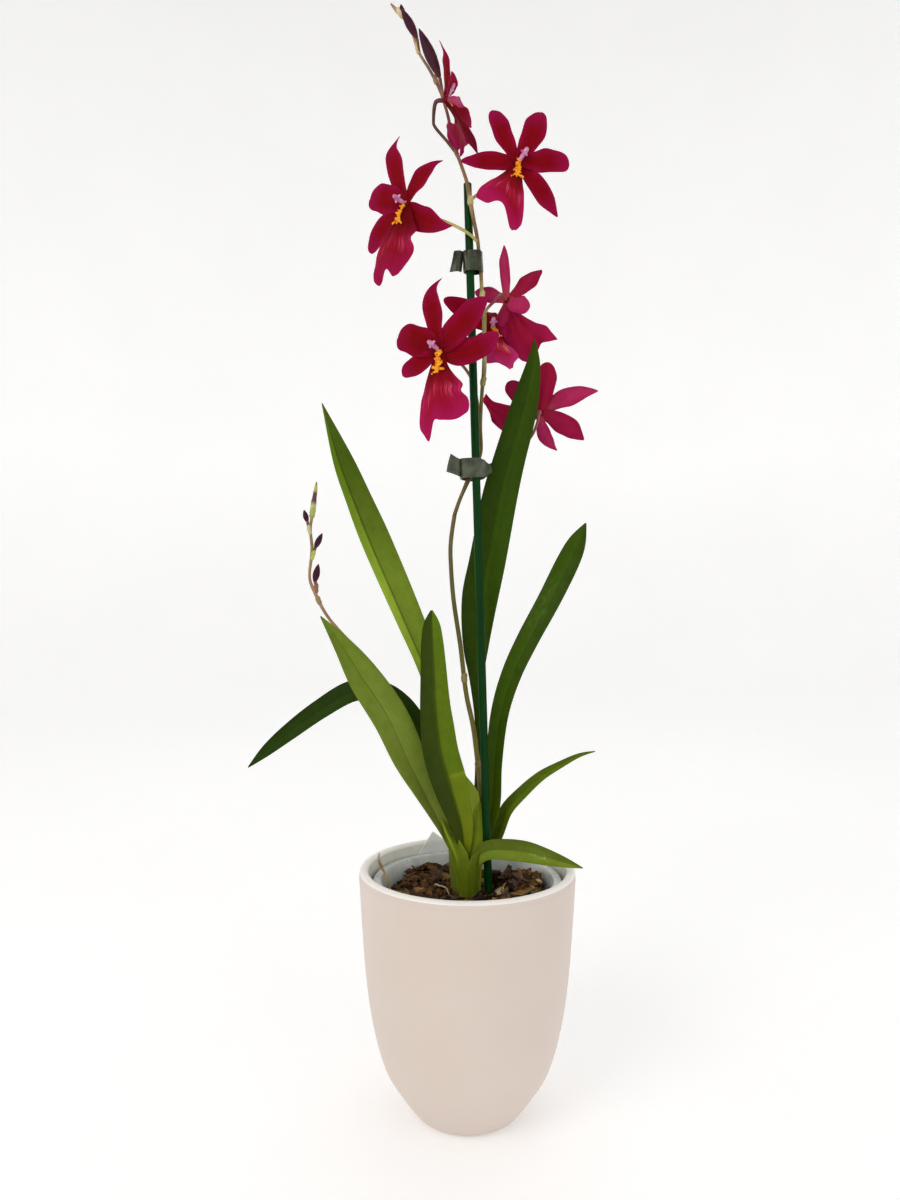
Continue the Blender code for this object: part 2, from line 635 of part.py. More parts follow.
def bark_pile(x, y):
    """How far the bark rises above its usual level: heaped at the left of the back and at the right."""
    left = 8.0 * math.exp(-(((x + 27) / 17) ** 2 + ((y - 27) / 15) ** 2))
    right = 5.0 * math.exp(-(((x - 42) / 12) ** 2 + ((y - 8) / 14) ** 2))
    return left + right


def bark():
    rng = random.Random(SEED)
    profile = [
        (BARK_TOP, 0), (BARK_TOP, nursery_radius(BARK_TOP) - NURSERY_WALL - GAP),
        (NURSERY_BASE + NURSERY_WALL + GAP, nursery_radius(NURSERY_BASE) - NURSERY_WALL - GAP),
        (NURSERY_BASE + NURSERY_WALL + GAP, 0),
    ]
    pieces = [turned("bark", profile, brown)]
    for i in range(BARK_CHIPS):
        # The golden angle spreads the chips evenly over the disc
        radius = BARK_SPREAD * math.sqrt((i + 0.5) / BARK_CHIPS)
        angle = i * math.pi * (3 - math.sqrt(5))
        x, y = radius * math.cos(angle), radius * math.sin(angle)
        size = [rng.uniform(*limits) for limits in (CHIP_LENGTH, CHIP_WIDTH, CHIP_THICKNESS)]
        lift = bark_pile(x, y)
        size[2] += lift * 0.9
        turn = Matrix.Rotation(rng.uniform(0, math.pi), 3, "Z")
        turn = turn @ Matrix.Rotation(rng.uniform(-CHIP_TILT, CHIP_TILT), 3, "X")
        turn = turn @ Matrix.Rotation(rng.uniform(-CHIP_TILT, CHIP_TILT), 3, "Y")
        height = BARK_TOP + lift * 0.55 + rng.uniform(0, CHIP_RISE)
        pieces.append(chip(f"chip_{i}", (x, y, height), size, turn, rng))
    return fuse("bark", pieces, brown)


def loft(name, sections, material=None, more=0.0, sides=14):
    """A closed body through oval sections: height, middle X and Y, half widths."""
    form = bmesh.new()
    rings = []
    for z, x, y, half_x, half_y in sections:
        ring = []
        for k in range(sides):
            angle = 2 * math.pi * k / sides
            ring.append(form.verts.new(Vector((
                x + (half_x + more) * math.cos(angle), y + (half_y + more) * math.sin(angle), z
            )) * MM))
        rings.append(ring)
    for lower, upper in zip(rings, rings[1:]):
        for k in range(sides):
            m = (k + 1) % sides
            form.faces.new((lower[k], lower[m], upper[m], upper[k]))
    form.faces.new(list(reversed(rings[0])))
    form.faces.new(rings[-1])
    mesh = bpy.data.meshes.new(name)
    form.to_mesh(mesh)
    form.free()
    return new_object(name, mesh, material)


def label():
    """A plain plastic label with one corner up, bent to the round of the pots it stands between."""
    rows = []
    steps = 6
    lean_right = Vector((math.cos(LABEL_TURN), -math.sin(LABEL_TURN)))
    lean_down = Vector((-math.sin(LABEL_TURN), -math.cos(LABEL_TURN)))
    for i in range(steps + 1):
        row = []
        for j in range(4):
            flat = lean_down * LABEL_LENGTH * i / steps + lean_right * LABEL_WIDTH * j / 3
            z = LABEL_CORNER + flat.y
            radius = pot_inner_radius(min(z, POT_SIDE[-1][0])) - GAP - LABEL_THICKNESS
            angle = LABEL_AZIMUTH - flat.x / radius
            row.append((radius * math.cos(angle), radius * math.sin(angle), z))
        rows.append(row)
    return sheet("plant_label", rows, LABEL_THICKNESS, label_white)


def bud_points(foot, tip, radius):
    """A pointed bud's middle line with its swelling."""
    foot, tip = Vector(foot), Vector(tip)
    shape = [(0, 0.35), (0.2, 0.8), (0.45, 1.0), (0.7, 0.78), (0.88, 0.42), (1, 0.12)]
    return [(*(foot.lerp(tip, t)), radius * share) for t, share in shape]


def bloom(name, spec):
    """A flower's red parts, its yellow crest and its pink column."""
    heart = Vector(spec["heart"])
    face = Vector(spec["facing"]).normalized()
    pieces = []
    form = bmesh.new()
    bmesh.ops.create_icosphere(form, subdivisions=1, radius=HEART_RADIUS * MM)
    form.transform(Matrix.Translation(heart * MM))
    mesh = bpy.data.meshes.new(name)
    form.to_mesh(mesh)
    form.free()
    pieces.append(new_object(name, mesh))
    for i, shape in enumerate(spec["tepals"]):
        pieces.append(tepal(f"{name}_tepal_{i}", heart, face, *shape))
    pieces.append(lip(f"{name}_lip", heart, face, *spec["lip"]))
    fuse(name, pieces, crimson)
    crest = []
    number = name.split("_")[1]
    for t, radius in CREST:
        tip, _, bow, sway, _ = spec["lip"]
        point, tangent = bent_midrib(heart, tip, bow, sway, face, t)
        out = across(tangent, face)[1]
        crest.append((*(point + out * CREST_LIFT), radius))
    tube("crest_" + number, crest, yellow, count=5)
    dorsal = (Vector(spec["tepals"][0][0]).normalized() * 0.5 + face).normalized()
    column = [(*(heart + dorsal * reach), radius) for reach, radius in COLUMN]
    tube("column_" + number, column, pink, count=5)


def stalk_end(spec):
    """The last points of a flower stalk, straight into the back of the bloom's heart."""
    heart = Vector(spec["heart"])
    face = Vector(spec["facing"]).normalized()
    return [(*(heart - face * reach), radius) for reach, radius in STALK_END]


def main_spike():
    pieces = [
        tube("spike_main", SPIKE_STEM, olive, count=16),
        tube("rachis", SPIKE_RACHIS, olive, count=34),
        tube("branch", SPIKE_BRANCH, olive, count=12),
    ]
    for name, spec in BLOOMS.items():
        route = [(*point, STALK_RADIUS) for point in spec["stalk"]] + stalk_end(spec)
        pieces.append(tube(name + "_stalk", route, olive, count=8))
    for i, route in enumerate(BUD_STALKS):
        pieces.append(tube(f"bud_stalk_{i}", route, olive, count=5))
    return fuse("spike_main", pieces, olive)


def clip(name, ring, low, high, tab):
    """A bent tape clip: a closed band round the stems, and a flag that stands off it."""
    middle = (low + high) / 2
    half = (high - low) / 2
    lean = (STAKE[1][0] - STAKE[0][0]) / (STAKE[1][2] - STAKE[0][2])

    def placed(x, y, share):
        z = middle + half * share
        return Vector((x + lean * (z - middle), y, z)) * MM

    form = bmesh.new()
    lower = [form.verts.new(placed(x, y, -share)) for x, y, share in ring]
    upper = [form.verts.new(placed(x, y, share)) for x, y, share in ring]
    for k in range(len(ring)):
        m = (k + 1) % len(ring)
        form.faces.new((lower[k], lower[m], upper[m], upper[k]))
    bmesh.ops.triangulate(form, faces=form.faces)
    mesh = bpy.data.meshes.new(name)
    form.to_mesh(mesh)
    form.free()
    band = new_object(name, mesh, clip_grey)
    solid = band.modifiers.new("thickness", "SOLIDIFY")
    solid.thickness = CLIP_THICKNESS * MM
    solid.offset = 0.0
    band = applied(band)
    flag = sheet(name + "_flag", tab, CLIP_THICKNESS, clip_grey)
    return fuse(name, [band, flag], clip_grey)


for leftover in list(bpy.data.objects):
    bpy.data.objects.remove(leftover)

plant = new_collection("cambria_orchid")
cutters = new_collection("cutters")

white = finish("ceramic_white", srgb(226, 220, 214), 0.45)
clear_plastic = finish("nursery_plastic", srgb(150, 158, 156), 0.35, 0.3)
brown = finish("bark_brown", srgb(92, 56, 34), 0.9)
green = finish("leaf_green", srgb(62, 92, 22), 0.45)
bulb_green = finish("bulb_green", srgb(98, 112, 32), 0.45)
olive = finish("spike_olive", srgb(120, 104, 44), 0.5)
young_olive = finish("spike_young", srgb(118, 92, 66), 0.5)
stake_green = finish("stake_green", srgb(12, 62, 30), 0.45)
clip_grey = finish("clip_grey", srgb(62, 66, 56), 0.5)
crimson = finish("bloom_crimson", srgb(138, 12, 44), 0.5)
yellow = finish("crest_yellow", srgb(240, 160, 20), 0.5)
pink = finish("column_pink", srgb(196, 130, 160), 0.5)
bud_purple = finish("bud_purple", srgb(84, 24, 50), 0.5)
root_tan = finish("root_tan", srgb(186, 150, 108), 0.7)
label_white = finish("label_white", srgb(225, 225, 220), 0.5)

ceramic_pot()
nursery_pot()
label()

crown = loft("pseudobulb", CROWN, bulb_green)
crown_clearance = as_cutter(loft("crown_clearance", CROWN, more=CROWN_GAP))
stake_line = [(*point, STAKE_RADIUS) for point in STAKE]
tube("stake", stake_line, stake_green, count=2, sides=3)
stake_clearance = as_cutter(tube("stake_clearance", stake_line, count=2, sides=3, more=GAP))

for leaf_name, (leaf_points, leaf_face, leaf_root_fold, leaf_tip_fold) in LEAVES.items():
    carve(leaf(leaf_name, leaf_points, leaf_face, leaf_root_fold, leaf_tip_fold), crown_clearance)

carve(main_spike(), crown_clearance)
carve(tube("spike_young", SPIKE_YOUNG, young_olive, count=28), crown_clearance)

for bloom_name, bloom_spec in BLOOMS.items():
    bloom(bloom_name, bloom_spec)

branch_clearance = as_cutter(tube("branch_clearance", SPIKE_BRANCH, count=12, more=CLIP_GAP))
for clip_name, clip_shape in CLIPS.items():
    carve(clip(clip_name, *clip_shape), branch_clearance)

for bud_name, (bud_foot, bud_tip, bud_radius) in BUDS.items():
    tube(bud_name, bud_points(bud_foot, bud_tip, bud_radius), bud_purple, count=7, sides=1)

bark_body = bark()
for cutter in (crown_clearance, stake_clearance):
    bark_body = carve(bark_body, cutter)
for root_name, root_points in ROOTS.items():
    tube(root_name, root_points, root_tan, count=10)
    bark_body = carve(bark_body, as_cutter(tube(root_name + "_clearance", root_points, count=10, more=GAP)))
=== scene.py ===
"""The looks of a cambria orchid in flower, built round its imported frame.

Each sub-assembly is a class that repeats the points of its CAD solids and makes finer meshes along
them. Sizes are in millimetres until a vertex is placed, where MM makes them metres, and colours
are 8-bit screen colours. On a blade, reach is the share of the way to the tip, and v is the place
across it, from -1 at one margin to 1 at the other.
"""

import logging
import math
import random
from collections.abc import Callable, Sequence
from dataclasses import dataclass, field
from enum import Enum

import bmesh
import bpy
from mathutils import Matrix, Vector, noise


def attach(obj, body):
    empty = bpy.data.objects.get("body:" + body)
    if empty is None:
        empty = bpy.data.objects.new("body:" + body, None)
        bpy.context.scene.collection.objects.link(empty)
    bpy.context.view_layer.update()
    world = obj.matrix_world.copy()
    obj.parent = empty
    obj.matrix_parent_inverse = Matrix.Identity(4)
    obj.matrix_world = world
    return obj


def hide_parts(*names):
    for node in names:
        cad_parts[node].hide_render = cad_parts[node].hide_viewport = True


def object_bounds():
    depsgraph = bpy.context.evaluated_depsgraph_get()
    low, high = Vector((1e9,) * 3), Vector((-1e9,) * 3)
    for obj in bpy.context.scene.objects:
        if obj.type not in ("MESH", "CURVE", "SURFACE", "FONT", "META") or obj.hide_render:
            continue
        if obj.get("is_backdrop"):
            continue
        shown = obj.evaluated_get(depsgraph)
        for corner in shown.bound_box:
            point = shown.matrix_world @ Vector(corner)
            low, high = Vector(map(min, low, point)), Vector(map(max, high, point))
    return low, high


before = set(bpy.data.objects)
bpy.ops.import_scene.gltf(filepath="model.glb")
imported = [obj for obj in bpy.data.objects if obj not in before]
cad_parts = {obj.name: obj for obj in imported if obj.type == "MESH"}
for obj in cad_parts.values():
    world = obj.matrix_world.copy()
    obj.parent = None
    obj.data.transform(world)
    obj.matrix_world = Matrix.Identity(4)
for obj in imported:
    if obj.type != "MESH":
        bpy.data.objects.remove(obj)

LOG = logging.getLogger("cambria_orchid")
CAD_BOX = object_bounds()
BODY = "root"
MM = 0.001
SEED = 7
TINT = "tint"
UV_MAP = "UVMap"
WHITE = (1.0, 1.0, 1.0)
WELD = 0.01
BROAD_BAND = (0.3, 0.7)
MIDDLE_BAND = (0.35, 0.65)
DEEP_BROWN = (0.05, 0.03, 0.02, 1)
SHARP = {"pot": 40, "bark": 38, "cane": 50, "tape": 35}
CURVE_STEPS = 12
FINE = 200
SENSOR = 36

Point = tuple[float, float, float]
Station = tuple[float, float, float, float]
Rgb = tuple[float, float, float]
Stops = Sequence[tuple[float, float]]
Tints = Sequence[tuple[float, Rgb]]
Joint = tuple[float, float, Rgb]
Form = bmesh.types.BMesh
Vert = bmesh.types.BMVert
Edge = bmesh.types.BMEdge
Ring = tuple[list[Vert], list[Edge]]
Piece = bpy.types.Object
Socket = bpy.types.NodeSocket
Material = bpy.types.Material
Materials = dict[str, Material]


def linear(colour: Rgb) -> tuple[float, float, float, float]:
    """Turns an 8-bit screen colour into linear light.

    Args:
        colour: red, green and blue from 0 to 255.

    Returns:
        The colour that a shader's socket takes.
    """
    shares = [value / 255 for value in colour]
    light = [s / 12.92 if s <= 0.04045 else ((s + 0.055) / 1.055) ** 2.4 for s in shares]
    return (*light, 1.0)


def smooth_points(points: Sequence[Sequence[float]], count: int) -> list[list[float]]:
    """Reads the smooth curve through the points at even steps along it.

    Args:
        points: X, Y and Z, with any further columns carried along.
        count: how many readings are made.

    Returns:
        The readings, with the same columns.
    """
    dense: list[list[float]] = []
    for i in range(len(points) - 1):
        before = points[max(i - 1, 0)]
        start, end = points[i], points[i + 1]
        after = points[min(i + 2, len(points) - 1)]
        for step in range(CURVE_STEPS):
            t = step / CURVE_STEPS
            point = []
            for a, b, c, d in zip(before, start, end, after):
                square = 2 * a - 5 * b + 4 * c - d
                cube = 3 * b - a - 3 * c + d
                point.append(0.5 * (2 * b + (c - a) * t + square * t**2 + cube * t**3))
            dense.append(point)
    dense.append(list(points[-1]))
    travel = [0.0]
    for a, b in zip(dense, dense[1:]):
        travel.append(travel[-1] + math.dist(a[:3], b[:3]))
    read = []
    j = 0
    for i in range(count):
        wanted = travel[-1] * i / (count - 1)
        while j < len(travel) - 2 and travel[j + 1] < wanted:
            j += 1
        share = (wanted - travel[j]) / max(travel[j + 1] - travel[j], 1e-9)
        read.append([a + (b - a) * min(share, 1.0) for a, b in zip(dense[j], dense[j + 1])])
    return read


def read_stops(stops: Stops, place: float) -> float:
    """Reads the smooth line through stops.

    Args:
        stops: pairs of place and value, in order.
        place: where the line is read.

    Returns:
        The value there.
    """
    last = len(stops) - 2
    for i, ((a, p), (b, q)) in enumerate(zip(stops, stops[1:])):
        if place <= b or i == last:
            before, after = stops[max(i - 1, 0)], stops[min(i + 2, last + 1)]
            start = (q - before[1]) / (b - before[0])
            end = (after[1] - p) / (after[0] - a)
            span = b - a
            w = clamped((place - a) / span)
            return (
                (2 * w**3 - 3 * w**2 + 1) * p + (w**3 - 2 * w**2 + w) * span * start
                + (3 * w**2 - 2 * w**3) * q + (w**3 - w**2) * span * end
            )
    return stops[-1][1]


def read_tints(tints: Tints, place: float) -> tuple[float, float, float, float]:
    """The linear colour at a place along colour stops.

    Args:
        tints: pairs of place and screen colour, in order.
        place: where they are read.

    Returns:
        The colour there, in linear light.
    """
    for (a, first), (b, second) in zip(tints, tints[1:]):
        if place <= b:
            share = clamped((place - a) / max(b - a, 1e-6))
            start, end = Vector(linear(first)), Vector(linear(second))
            return tuple(start.lerp(end, share))
    return linear(tints[-1][1])


def across(tangent: Vector, face: Vector) -> tuple[Vector, Vector]:
    """The sideways and outward directions of a blade that runs along tangent and faces face."""
    side = tangent.cross(face).normalized()
    return side, side.cross(tangent).normalized()


def new_form() -> Form:
    """An empty mesh in the making, with a UV map and a colour for each vertex.

    Returns:
        The mesh.
    """
    form = bmesh.new()
    form.loops.layers.uv.new(UV_MAP)
    form.verts.layers.float_color.new(TINT)
    return form


def finished(form: Form, name: str, materials: Sequence[Material], outward: bool = True) -> Piece:
    """Turns a mesh in the making into a smooth object of the scene.

    Args:
        form: the mesh, which is freed.
        name: the piece's name.
        materials: one for each material slot.
        outward: whether the faces of closed shells are turned outwards.

    Returns:
        The object, at the origin.
    """
    if outward:
        bmesh.ops.recalc_face_normals(form, faces=form.faces)
    mesh = bpy.data.meshes.new(name)
    form.to_mesh(mesh)
    form.free()
    for material in materials:
        mesh.materials.append(material)
    made = bpy.data.objects.new(name, mesh)
    bpy.context.scene.collection.objects.link(made)
    mesh.shade_smooth()
    return made


def baked(made: Piece) -> Piece:
    """Applies an object's modifiers to its mesh.

    Args:
        made: the object.

    Returns:
        The same object.
    """
    graph = bpy.context.evaluated_depsgraph_get()
    graph.update()
    mesh = bpy.data.meshes.new_from_object(made.evaluated_get(graph))
    made.modifiers.clear()
    plain, made.data = made.data, mesh
    bpy.data.meshes.remove(plain)
    return made


def thickened(made: Piece, thickness: float, levels: int = 1) -> Piece:
    """Gives a blade its thickness, its back the second material, and a smooth surface.

    Args:
        made: the blade, whose vertex group says where it is thick.
        thickness: in millimetres.
        levels: how often the surface is subdivided.

    Returns:
        The same object.
    """
    solid = made.modifiers.new("thickness", "SOLIDIFY")
    solid.thickness = thickness * MM
    solid.offset = 0.0
    if made.vertex_groups:
        solid.vertex_group = made.vertex_groups[0].name
        solid.thickness_vertex_group = 0.3
    if len(made.data.materials) > 1:
        solid.material_offset = 1
    if levels:
        smooth = made.modifiers.new("smooth", "SUBSURF")
        smooth.levels = levels
        smooth.render_levels = levels
    return baked(made)


def sheet(form: Form, name: str, materials: Sequence[Material], thickness: float) -> Piece:
    """Turns a blade into a thick, smooth object that is thinner where its weights say so.

    Args:
        form: the blade, which is freed.
        name: the piece's name.
        materials: for its front and its back.
        thickness: in millimetres.

    Returns:
        The object.
    """
    made = finished(form, name, materials, outward=False)
    made.vertex_groups.new(name="thickness")
    return thickened(made, thickness)


def add_blade(
    form: Form, rows: int, columns: int, place: Callable[[float, float], Vector],
    weight: Callable[[float, float], float] | None = None,
    tone: Callable[[float, float], Rgb] | None = None,
) -> list[Vert]:
    """Adds a grid to the mesh and lays it out as a blade.

    Args:
        form: the mesh that takes it.
        rows: steps from the blade's root to its tip.
        columns: steps across it.
        place: the point, in millimetres, for a share of the length and a place across from -1 to 1.
        weight: how thick the blade is there, from 0 to 1.
        tone: what its finish is multiplied by there.

    Returns:
        The blade's vertices.
    """
    deform = form.verts.layers.deform.verify()
    layer = form.verts.layers.float_color[TINT]
    grid = bmesh.ops.create_grid(form, x_segments=columns, y_segments=rows, size=0.5, calc_uvs=True)
    for vert in grid["verts"]:
        reach, v = vert.co.y + 0.5, vert.co.x * 2
        vert.co = place(reach, v) * MM
        vert[layer] = (*(tone(reach, v) if tone else WHITE), 1)
        if weight:
            vert[deform][0] = weight(reach, v)
    return grid["verts"]


def taper(margin: float, tip: float) -> Callable[[float, float], float]:
    """A blade's thickness, less by these shares at its margins and at its tip."""
    return lambda reach, v: 1.0 - margin * abs(v) - tip * reach


def even(shade: Rgb) -> Callable[[float, float], Rgb]:
    """A blade's tone that is the same all over it."""
    return lambda reach, v: shade


def past(place: float, start: float) -> float:
    """How far a place is on its way from start, at 0, to the end, at 1."""
    return max(0.0, (place - start) / (1 - start))


def clamped(value: float) -> float:
    """A value kept between 0 and 1."""
    return min(max(value, 0.0), 1.0)


def ring_frames(route: Sequence[Sequence[float]]) -> list[Matrix]:
    """The place, turn and radius of each ring of a tube, without twist, in metres.

    Args:
        route: X, Y, Z and radius of each ring, in millimetres.

    Returns:
        A matrix for each ring.
    """
    points = [Vector(station[:3]) * MM for station in route]
    last = len(points) - 1
    side = Vector((0.31, 0.87, 0.12))
    frames = []
    for i, point in enumerate(points):
        tangent = (points[min(i + 1, last)] - points[max(i - 1, 0)]).normalized()
        side = (side - tangent * side.dot(tangent)).normalized()
        up = tangent.cross(side)
        radius = route[i][3] * MM
        columns = [side * radius, up * radius, tangent * radius, point]
        rows = [[column[k] for column in columns] for k in range(3)]
        frames.append(Matrix([*rows, [0, 0, 0, 1]]))
    return frames


def edges_at(verts: Sequence[Vert]) -> list[Edge]:
    """The edges at some vertices, each once and always in the same order."""
    return list(dict.fromkeys(edge for vert in verts for edge in vert.link_edges))


def first_ring(form: Form, sides: int) -> Ring:
    """Adds a flat ring with a radius of 1, and gives its vertices and edges."""
    verts = bmesh.ops.create_circle(form, cap_ends=False, segments=sides, radius=1.0)["verts"]
    return verts, edges_at(verts)


def next_ring(form: Form, edges: list[Edge]) -> Ring:
    """Extrudes a ring's edges once, and gives the new ring's vertices and edges.

    Args:
        form: the mesh that the ring is in.
        edges: the ring's edges.

    Returns:
        The new ring's vertices and its edges.
    """
    grown = bmesh.ops.extrude_edge_only(form, edges=edges)["geom"]
    verts = [part for part in grown if isinstance(part, Vert)]
    fresh = set(verts)
    links = [part for part in grown if isinstance(part, Edge)]
    return verts, [edge for edge in links if fresh.issuperset(edge.verts)]


def carried(values: dict[Vert, float], ring: list[Vert]) -> dict[Vert, float]:
    """Hands each vertex's value on to the one just extruded from it, which lies on it."""
    known = {tuple(vert.co): value for vert, value in values.items()}
    return {vert: known[tuple(vert.co)] for vert in ring}


def add_tube(form: Form, route: Sequence[Sequence[float]], sides: int, tints: Tints) -> None:
    """Carries a ring along a route by extrusion, and closes both ends.

    Args:
        form: the mesh that takes the tube.
        route: X, Y, Z and radius of each ring.
        sides: the ring's corners.
        tints: the colour along it, as (share of the way, screen colour).
    """
    layer = form.verts.layers.float_color[TINT]
    frames = ring_frames(route)
    ring, edges = first_ring(form, sides)
    bmesh.ops.transform(form, matrix=frames[0], verts=ring)
    bmesh.ops.edgeloop_fill(form, edges=edges)
    for i, here in enumerate(frames):
        if i:
            ring, edges = next_ring(form, edges)
            bmesh.ops.transform(form, matrix=here @ frames[i - 1].inverted(), verts=ring)
        colour = read_tints(tints, i / (len(frames) - 1))
        for vert in ring:
            vert[layer] = colour
    bmesh.ops.edgeloop_fill(form, edges=edges)


def add_stem(
    form: Form, points: Sequence[Station], readings: int, sides: int, tints: Tints
) -> None:
    """Adds a tube along the smooth curve through the points."""
    add_tube(form, smooth_points(points, readings), sides, tints)


def add_ball(form: Form, centre: Vector, *radii: float) -> None:
    """Adds a small lump, with its centre and its one or three radii in millimetres.

    Args:
        form: the mesh that takes it.
        centre: in millimetres.
        *radii: one, or one along each axis, in millimetres.
    """
    shape = Matrix.Diagonal(Vector(radii * (3 // len(radii))) * MM).to_4x4()
    place = Matrix.Translation(centre * MM) @ shape
    bmesh.ops.create_icosphere(form, subdivisions=2, radius=1.0, matrix=place)


def fused(made: Piece, grain: float, rounds: int) -> Piece:
    """Melts overlapping lumps into one skin.

    Args:
        made: the object made of lumps.
        grain: the skin's finest detail, in millimetres.
        rounds: how often it is smoothed.

    Returns:
        The same object.
    """
    skin = made.modifiers.new("skin", "REMESH")
    skin.mode = "VOXEL"
    skin.voxel_size = grain * MM
    skin.use_smooth_shade = True
    soft = made.modifiers.new("soft", "SMOOTH")
    soft.factor = 0.5
    soft.iterations = rounds
    return baked(made)


def turned(form: Form, profile: Stops, steps: int) -> None:
    """Turns a profile of heights and radii round the upright axis.

    Args:
        form: the mesh that takes it.
        profile: heights and radii, in millimetres.
        steps: how many there are in a full turn.
    """
    line = [form.verts.new((radius * MM, 0, z * MM)) for z, radius in profile]
    edges = [form.edges.new(pair) for pair in zip(line, line[1:])]
    bmesh.ops.spin(
        form, geom=line + edges, cent=(0, 0, 0), axis=(0, 0, 1), angle=2 * math.pi, steps=steps,
        use_merge=True, use_duplicate=False,
    )
    bmesh.ops.remove_doubles(form, verts=form.verts, dist=WELD * MM)


def spun(name: str, profile: Stops, steps: int, materials: Sequence[Material]) -> Piece:
    """Makes a closed turned body.

    Args:
        name: the piece's name.
        profile: heights and radii, in millimetres.
        steps: how many there are in a full turn.
        materials: one for each material slot.

    Returns:
        The object.
    """
    form = new_form()
    turned(form, profile, steps)
    return finished(form, name, materials)


def fit(piece: Piece, slot: str, *nodes: str) -> Piece:
    """Rides a piece on the part's body and names what it stands for.

    Args:
        piece: the finished object.
        slot: the record's material slot; it is not used.
        nodes: the CAD nodes that it replaces.

    Returns:
        The same object.
    """
    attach(piece, BODY)
    if nodes:
        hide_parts(*nodes)
    faces = len(piece.data.polygons)
    LOG.info("%s: %d faces for %s", piece.name, faces, ", ".join(nodes) or "detail")
    return piece


class Pattern:
    """Wires up one Principled material."""

    def __init__(self, name: str, roughness: float, sockets: dict[str, float]) -> None:
        """Starts the material with the settings that are the same all over it.

        Args:
            name: the material's name.
            roughness: from 0 to 1.
            sockets: further values, by the shader's socket.
        """
        self.material = bpy.data.materials.new(name)
        self.material.use_nodes = True
        self.tree = self.material.node_tree
        self.shader = self.tree.nodes["Principled BSDF"]
        self.shader.inputs["Roughness"].default_value = roughness
        for socket, value in sockets.items():
            self.shader.inputs[socket].default_value = value
        self.coordinates = self.tree.nodes.new("ShaderNodeTexCoord")

    @property
    def place(self) -> Socket:
        """The surface's own place, in metres."""
        return self.coordinates.outputs["Object"]

    @property
    def uv(self) -> Socket:
        """The place across and along a blade."""
        return self.coordinates.outputs["UV"]

    def add(self, kind: str, inputs: dict[str | int, object], **settings: object) -> bpy.types.Node:
        """Adds a node.

        Args:
            kind: the node's type, after ShaderNode.
            inputs: values, or sockets to link, by input.
            settings: the node's own properties.

        Returns:
            The node.
        """
        node = self.tree.nodes.new("ShaderNode" + kind)
        for name, value in settings.items():
            setattr(node, name, value)
        for key, value in inputs.items():
            if isinstance(value, Socket):
                self.tree.links.new(value, node.inputs[key])
            else:
                node.inputs[key].default_value = value
        return node

    def math(self, operation: str, *values: object) -> Socket:
        """The result of a Math node."""
        return self.add("Math", dict(enumerate(values)), operation=operation).outputs[0]

    def stretched(self, source: Socket, scale: Point) -> Socket:
        """Coordinates that are scaled unevenly."""
        return self.add("Mapping", {"Vector": source, "Scale": scale}).outputs["Vector"]

    def grain(
        self, source: Socket, scale: float, detail: float = 4.0, roughness: float = 0.55
    ) -> Socket:
        """A noise from 0 to 1."""
        inputs = {"Vector": source, "Scale": scale, "Detail": detail, "Roughness": roughness}
        return self.add("TexNoise", inputs).outputs[0]

    def plus(self, first: object, second: object) -> Socket:
        """The sum of two values."""
        return self.math("ADD", first, second)

    def times(self, first: object, second: object) -> Socket:
        """The product of two values."""
        return self.math("MULTIPLY", first, second)

    def ranged(
        self, value: object, low: float, high: float, to_low: float = 0.0, to_high: float = 1.0
    ) -> Socket:
        """A value moved from one range to another, and kept within it."""
        ends = {"From Min": low, "From Max": high, "To Min": to_low, "To Max": to_high}
        return self.add("MapRange", {"Value": value, **ends}).outputs["Result"]

    def mixed(self, share: object, first: object, second: object, blend: str = "MIX") -> Socket:
        """Two colours mixed by a share."""
        inputs = {0: share, 6: first, 7: second}
        return self.add("Mix", inputs, data_type="RGBA", blend_type=blend).outputs[2]

    def tint(self) -> Socket:
        """The colour that each vertex carries."""
        return self.add("Attribute", {}, attribute_name=TINT).outputs["Color"]

    def done(
        self, colour: Socket, height: Socket | None = None,
        depth: float = 0.1, roughness: Socket | None = None,
    ) -> Material:
        """Links the colour, the relief and the roughness.

        Args:
            colour: the base colour.
            height: the relief, from 0 to 1.
            depth: how deep the relief is, in millimetres.
            roughness: where the roughness varies.

        Returns:
            The material.
        """
        self.tree.links.new(colour, self.shader.inputs["Base Color"])
        if height is not None:
            relief = self.add("Bump", {"Height": height, "Strength": 0.7, "Distance": depth * MM})
            self.tree.links.new(relief.outputs["Normal"], self.shader.inputs["Normal"])
        if roughness is not None:
            self.tree.links.new(roughness, self.shader.inputs["Roughness"])
        return self.material


@dataclass(frozen=True)
class Mottled:
    """A finish of two colours mixed by a noise on the piece's own place, with a fine relief."""

    name: str
    first: Rgb
    second: Rgb
    roughness: float
    scale: float
    depth: float
    fine: float = 1500.0
    stretch: Point = (1.0, 1.0, 1.0)
    specular: float = 0.5
    coat: float = 0.0
    transmission: float = 0.0
    glow: float = 0.0

    def make(self) -> Material:
        """Wires up the two colours, the mottle and the relief.

        Returns:
            The material.
        """
        pattern = Pattern(
            self.name, self.roughness,
            {
                "Specular IOR Level": self.specular, "Coat Weight": self.coat,
                "Transmission Weight": self.transmission, "Emission Strength": self.glow,
            },
        )
        place = pattern.stretched(pattern.place, self.stretch)
        share = pattern.ranged(pattern.grain(place, self.scale), *MIDDLE_BAND)
        colour = pattern.mixed(share, linear(self.first), linear(self.second))
        fine = pattern.grain(place, self.fine, 3.0)
        rough = pattern.ranged(share, 0, 1, self.roughness - 0.05, self.roughness + 0.05)
        return pattern.done(colour, fine, self.depth, rough)


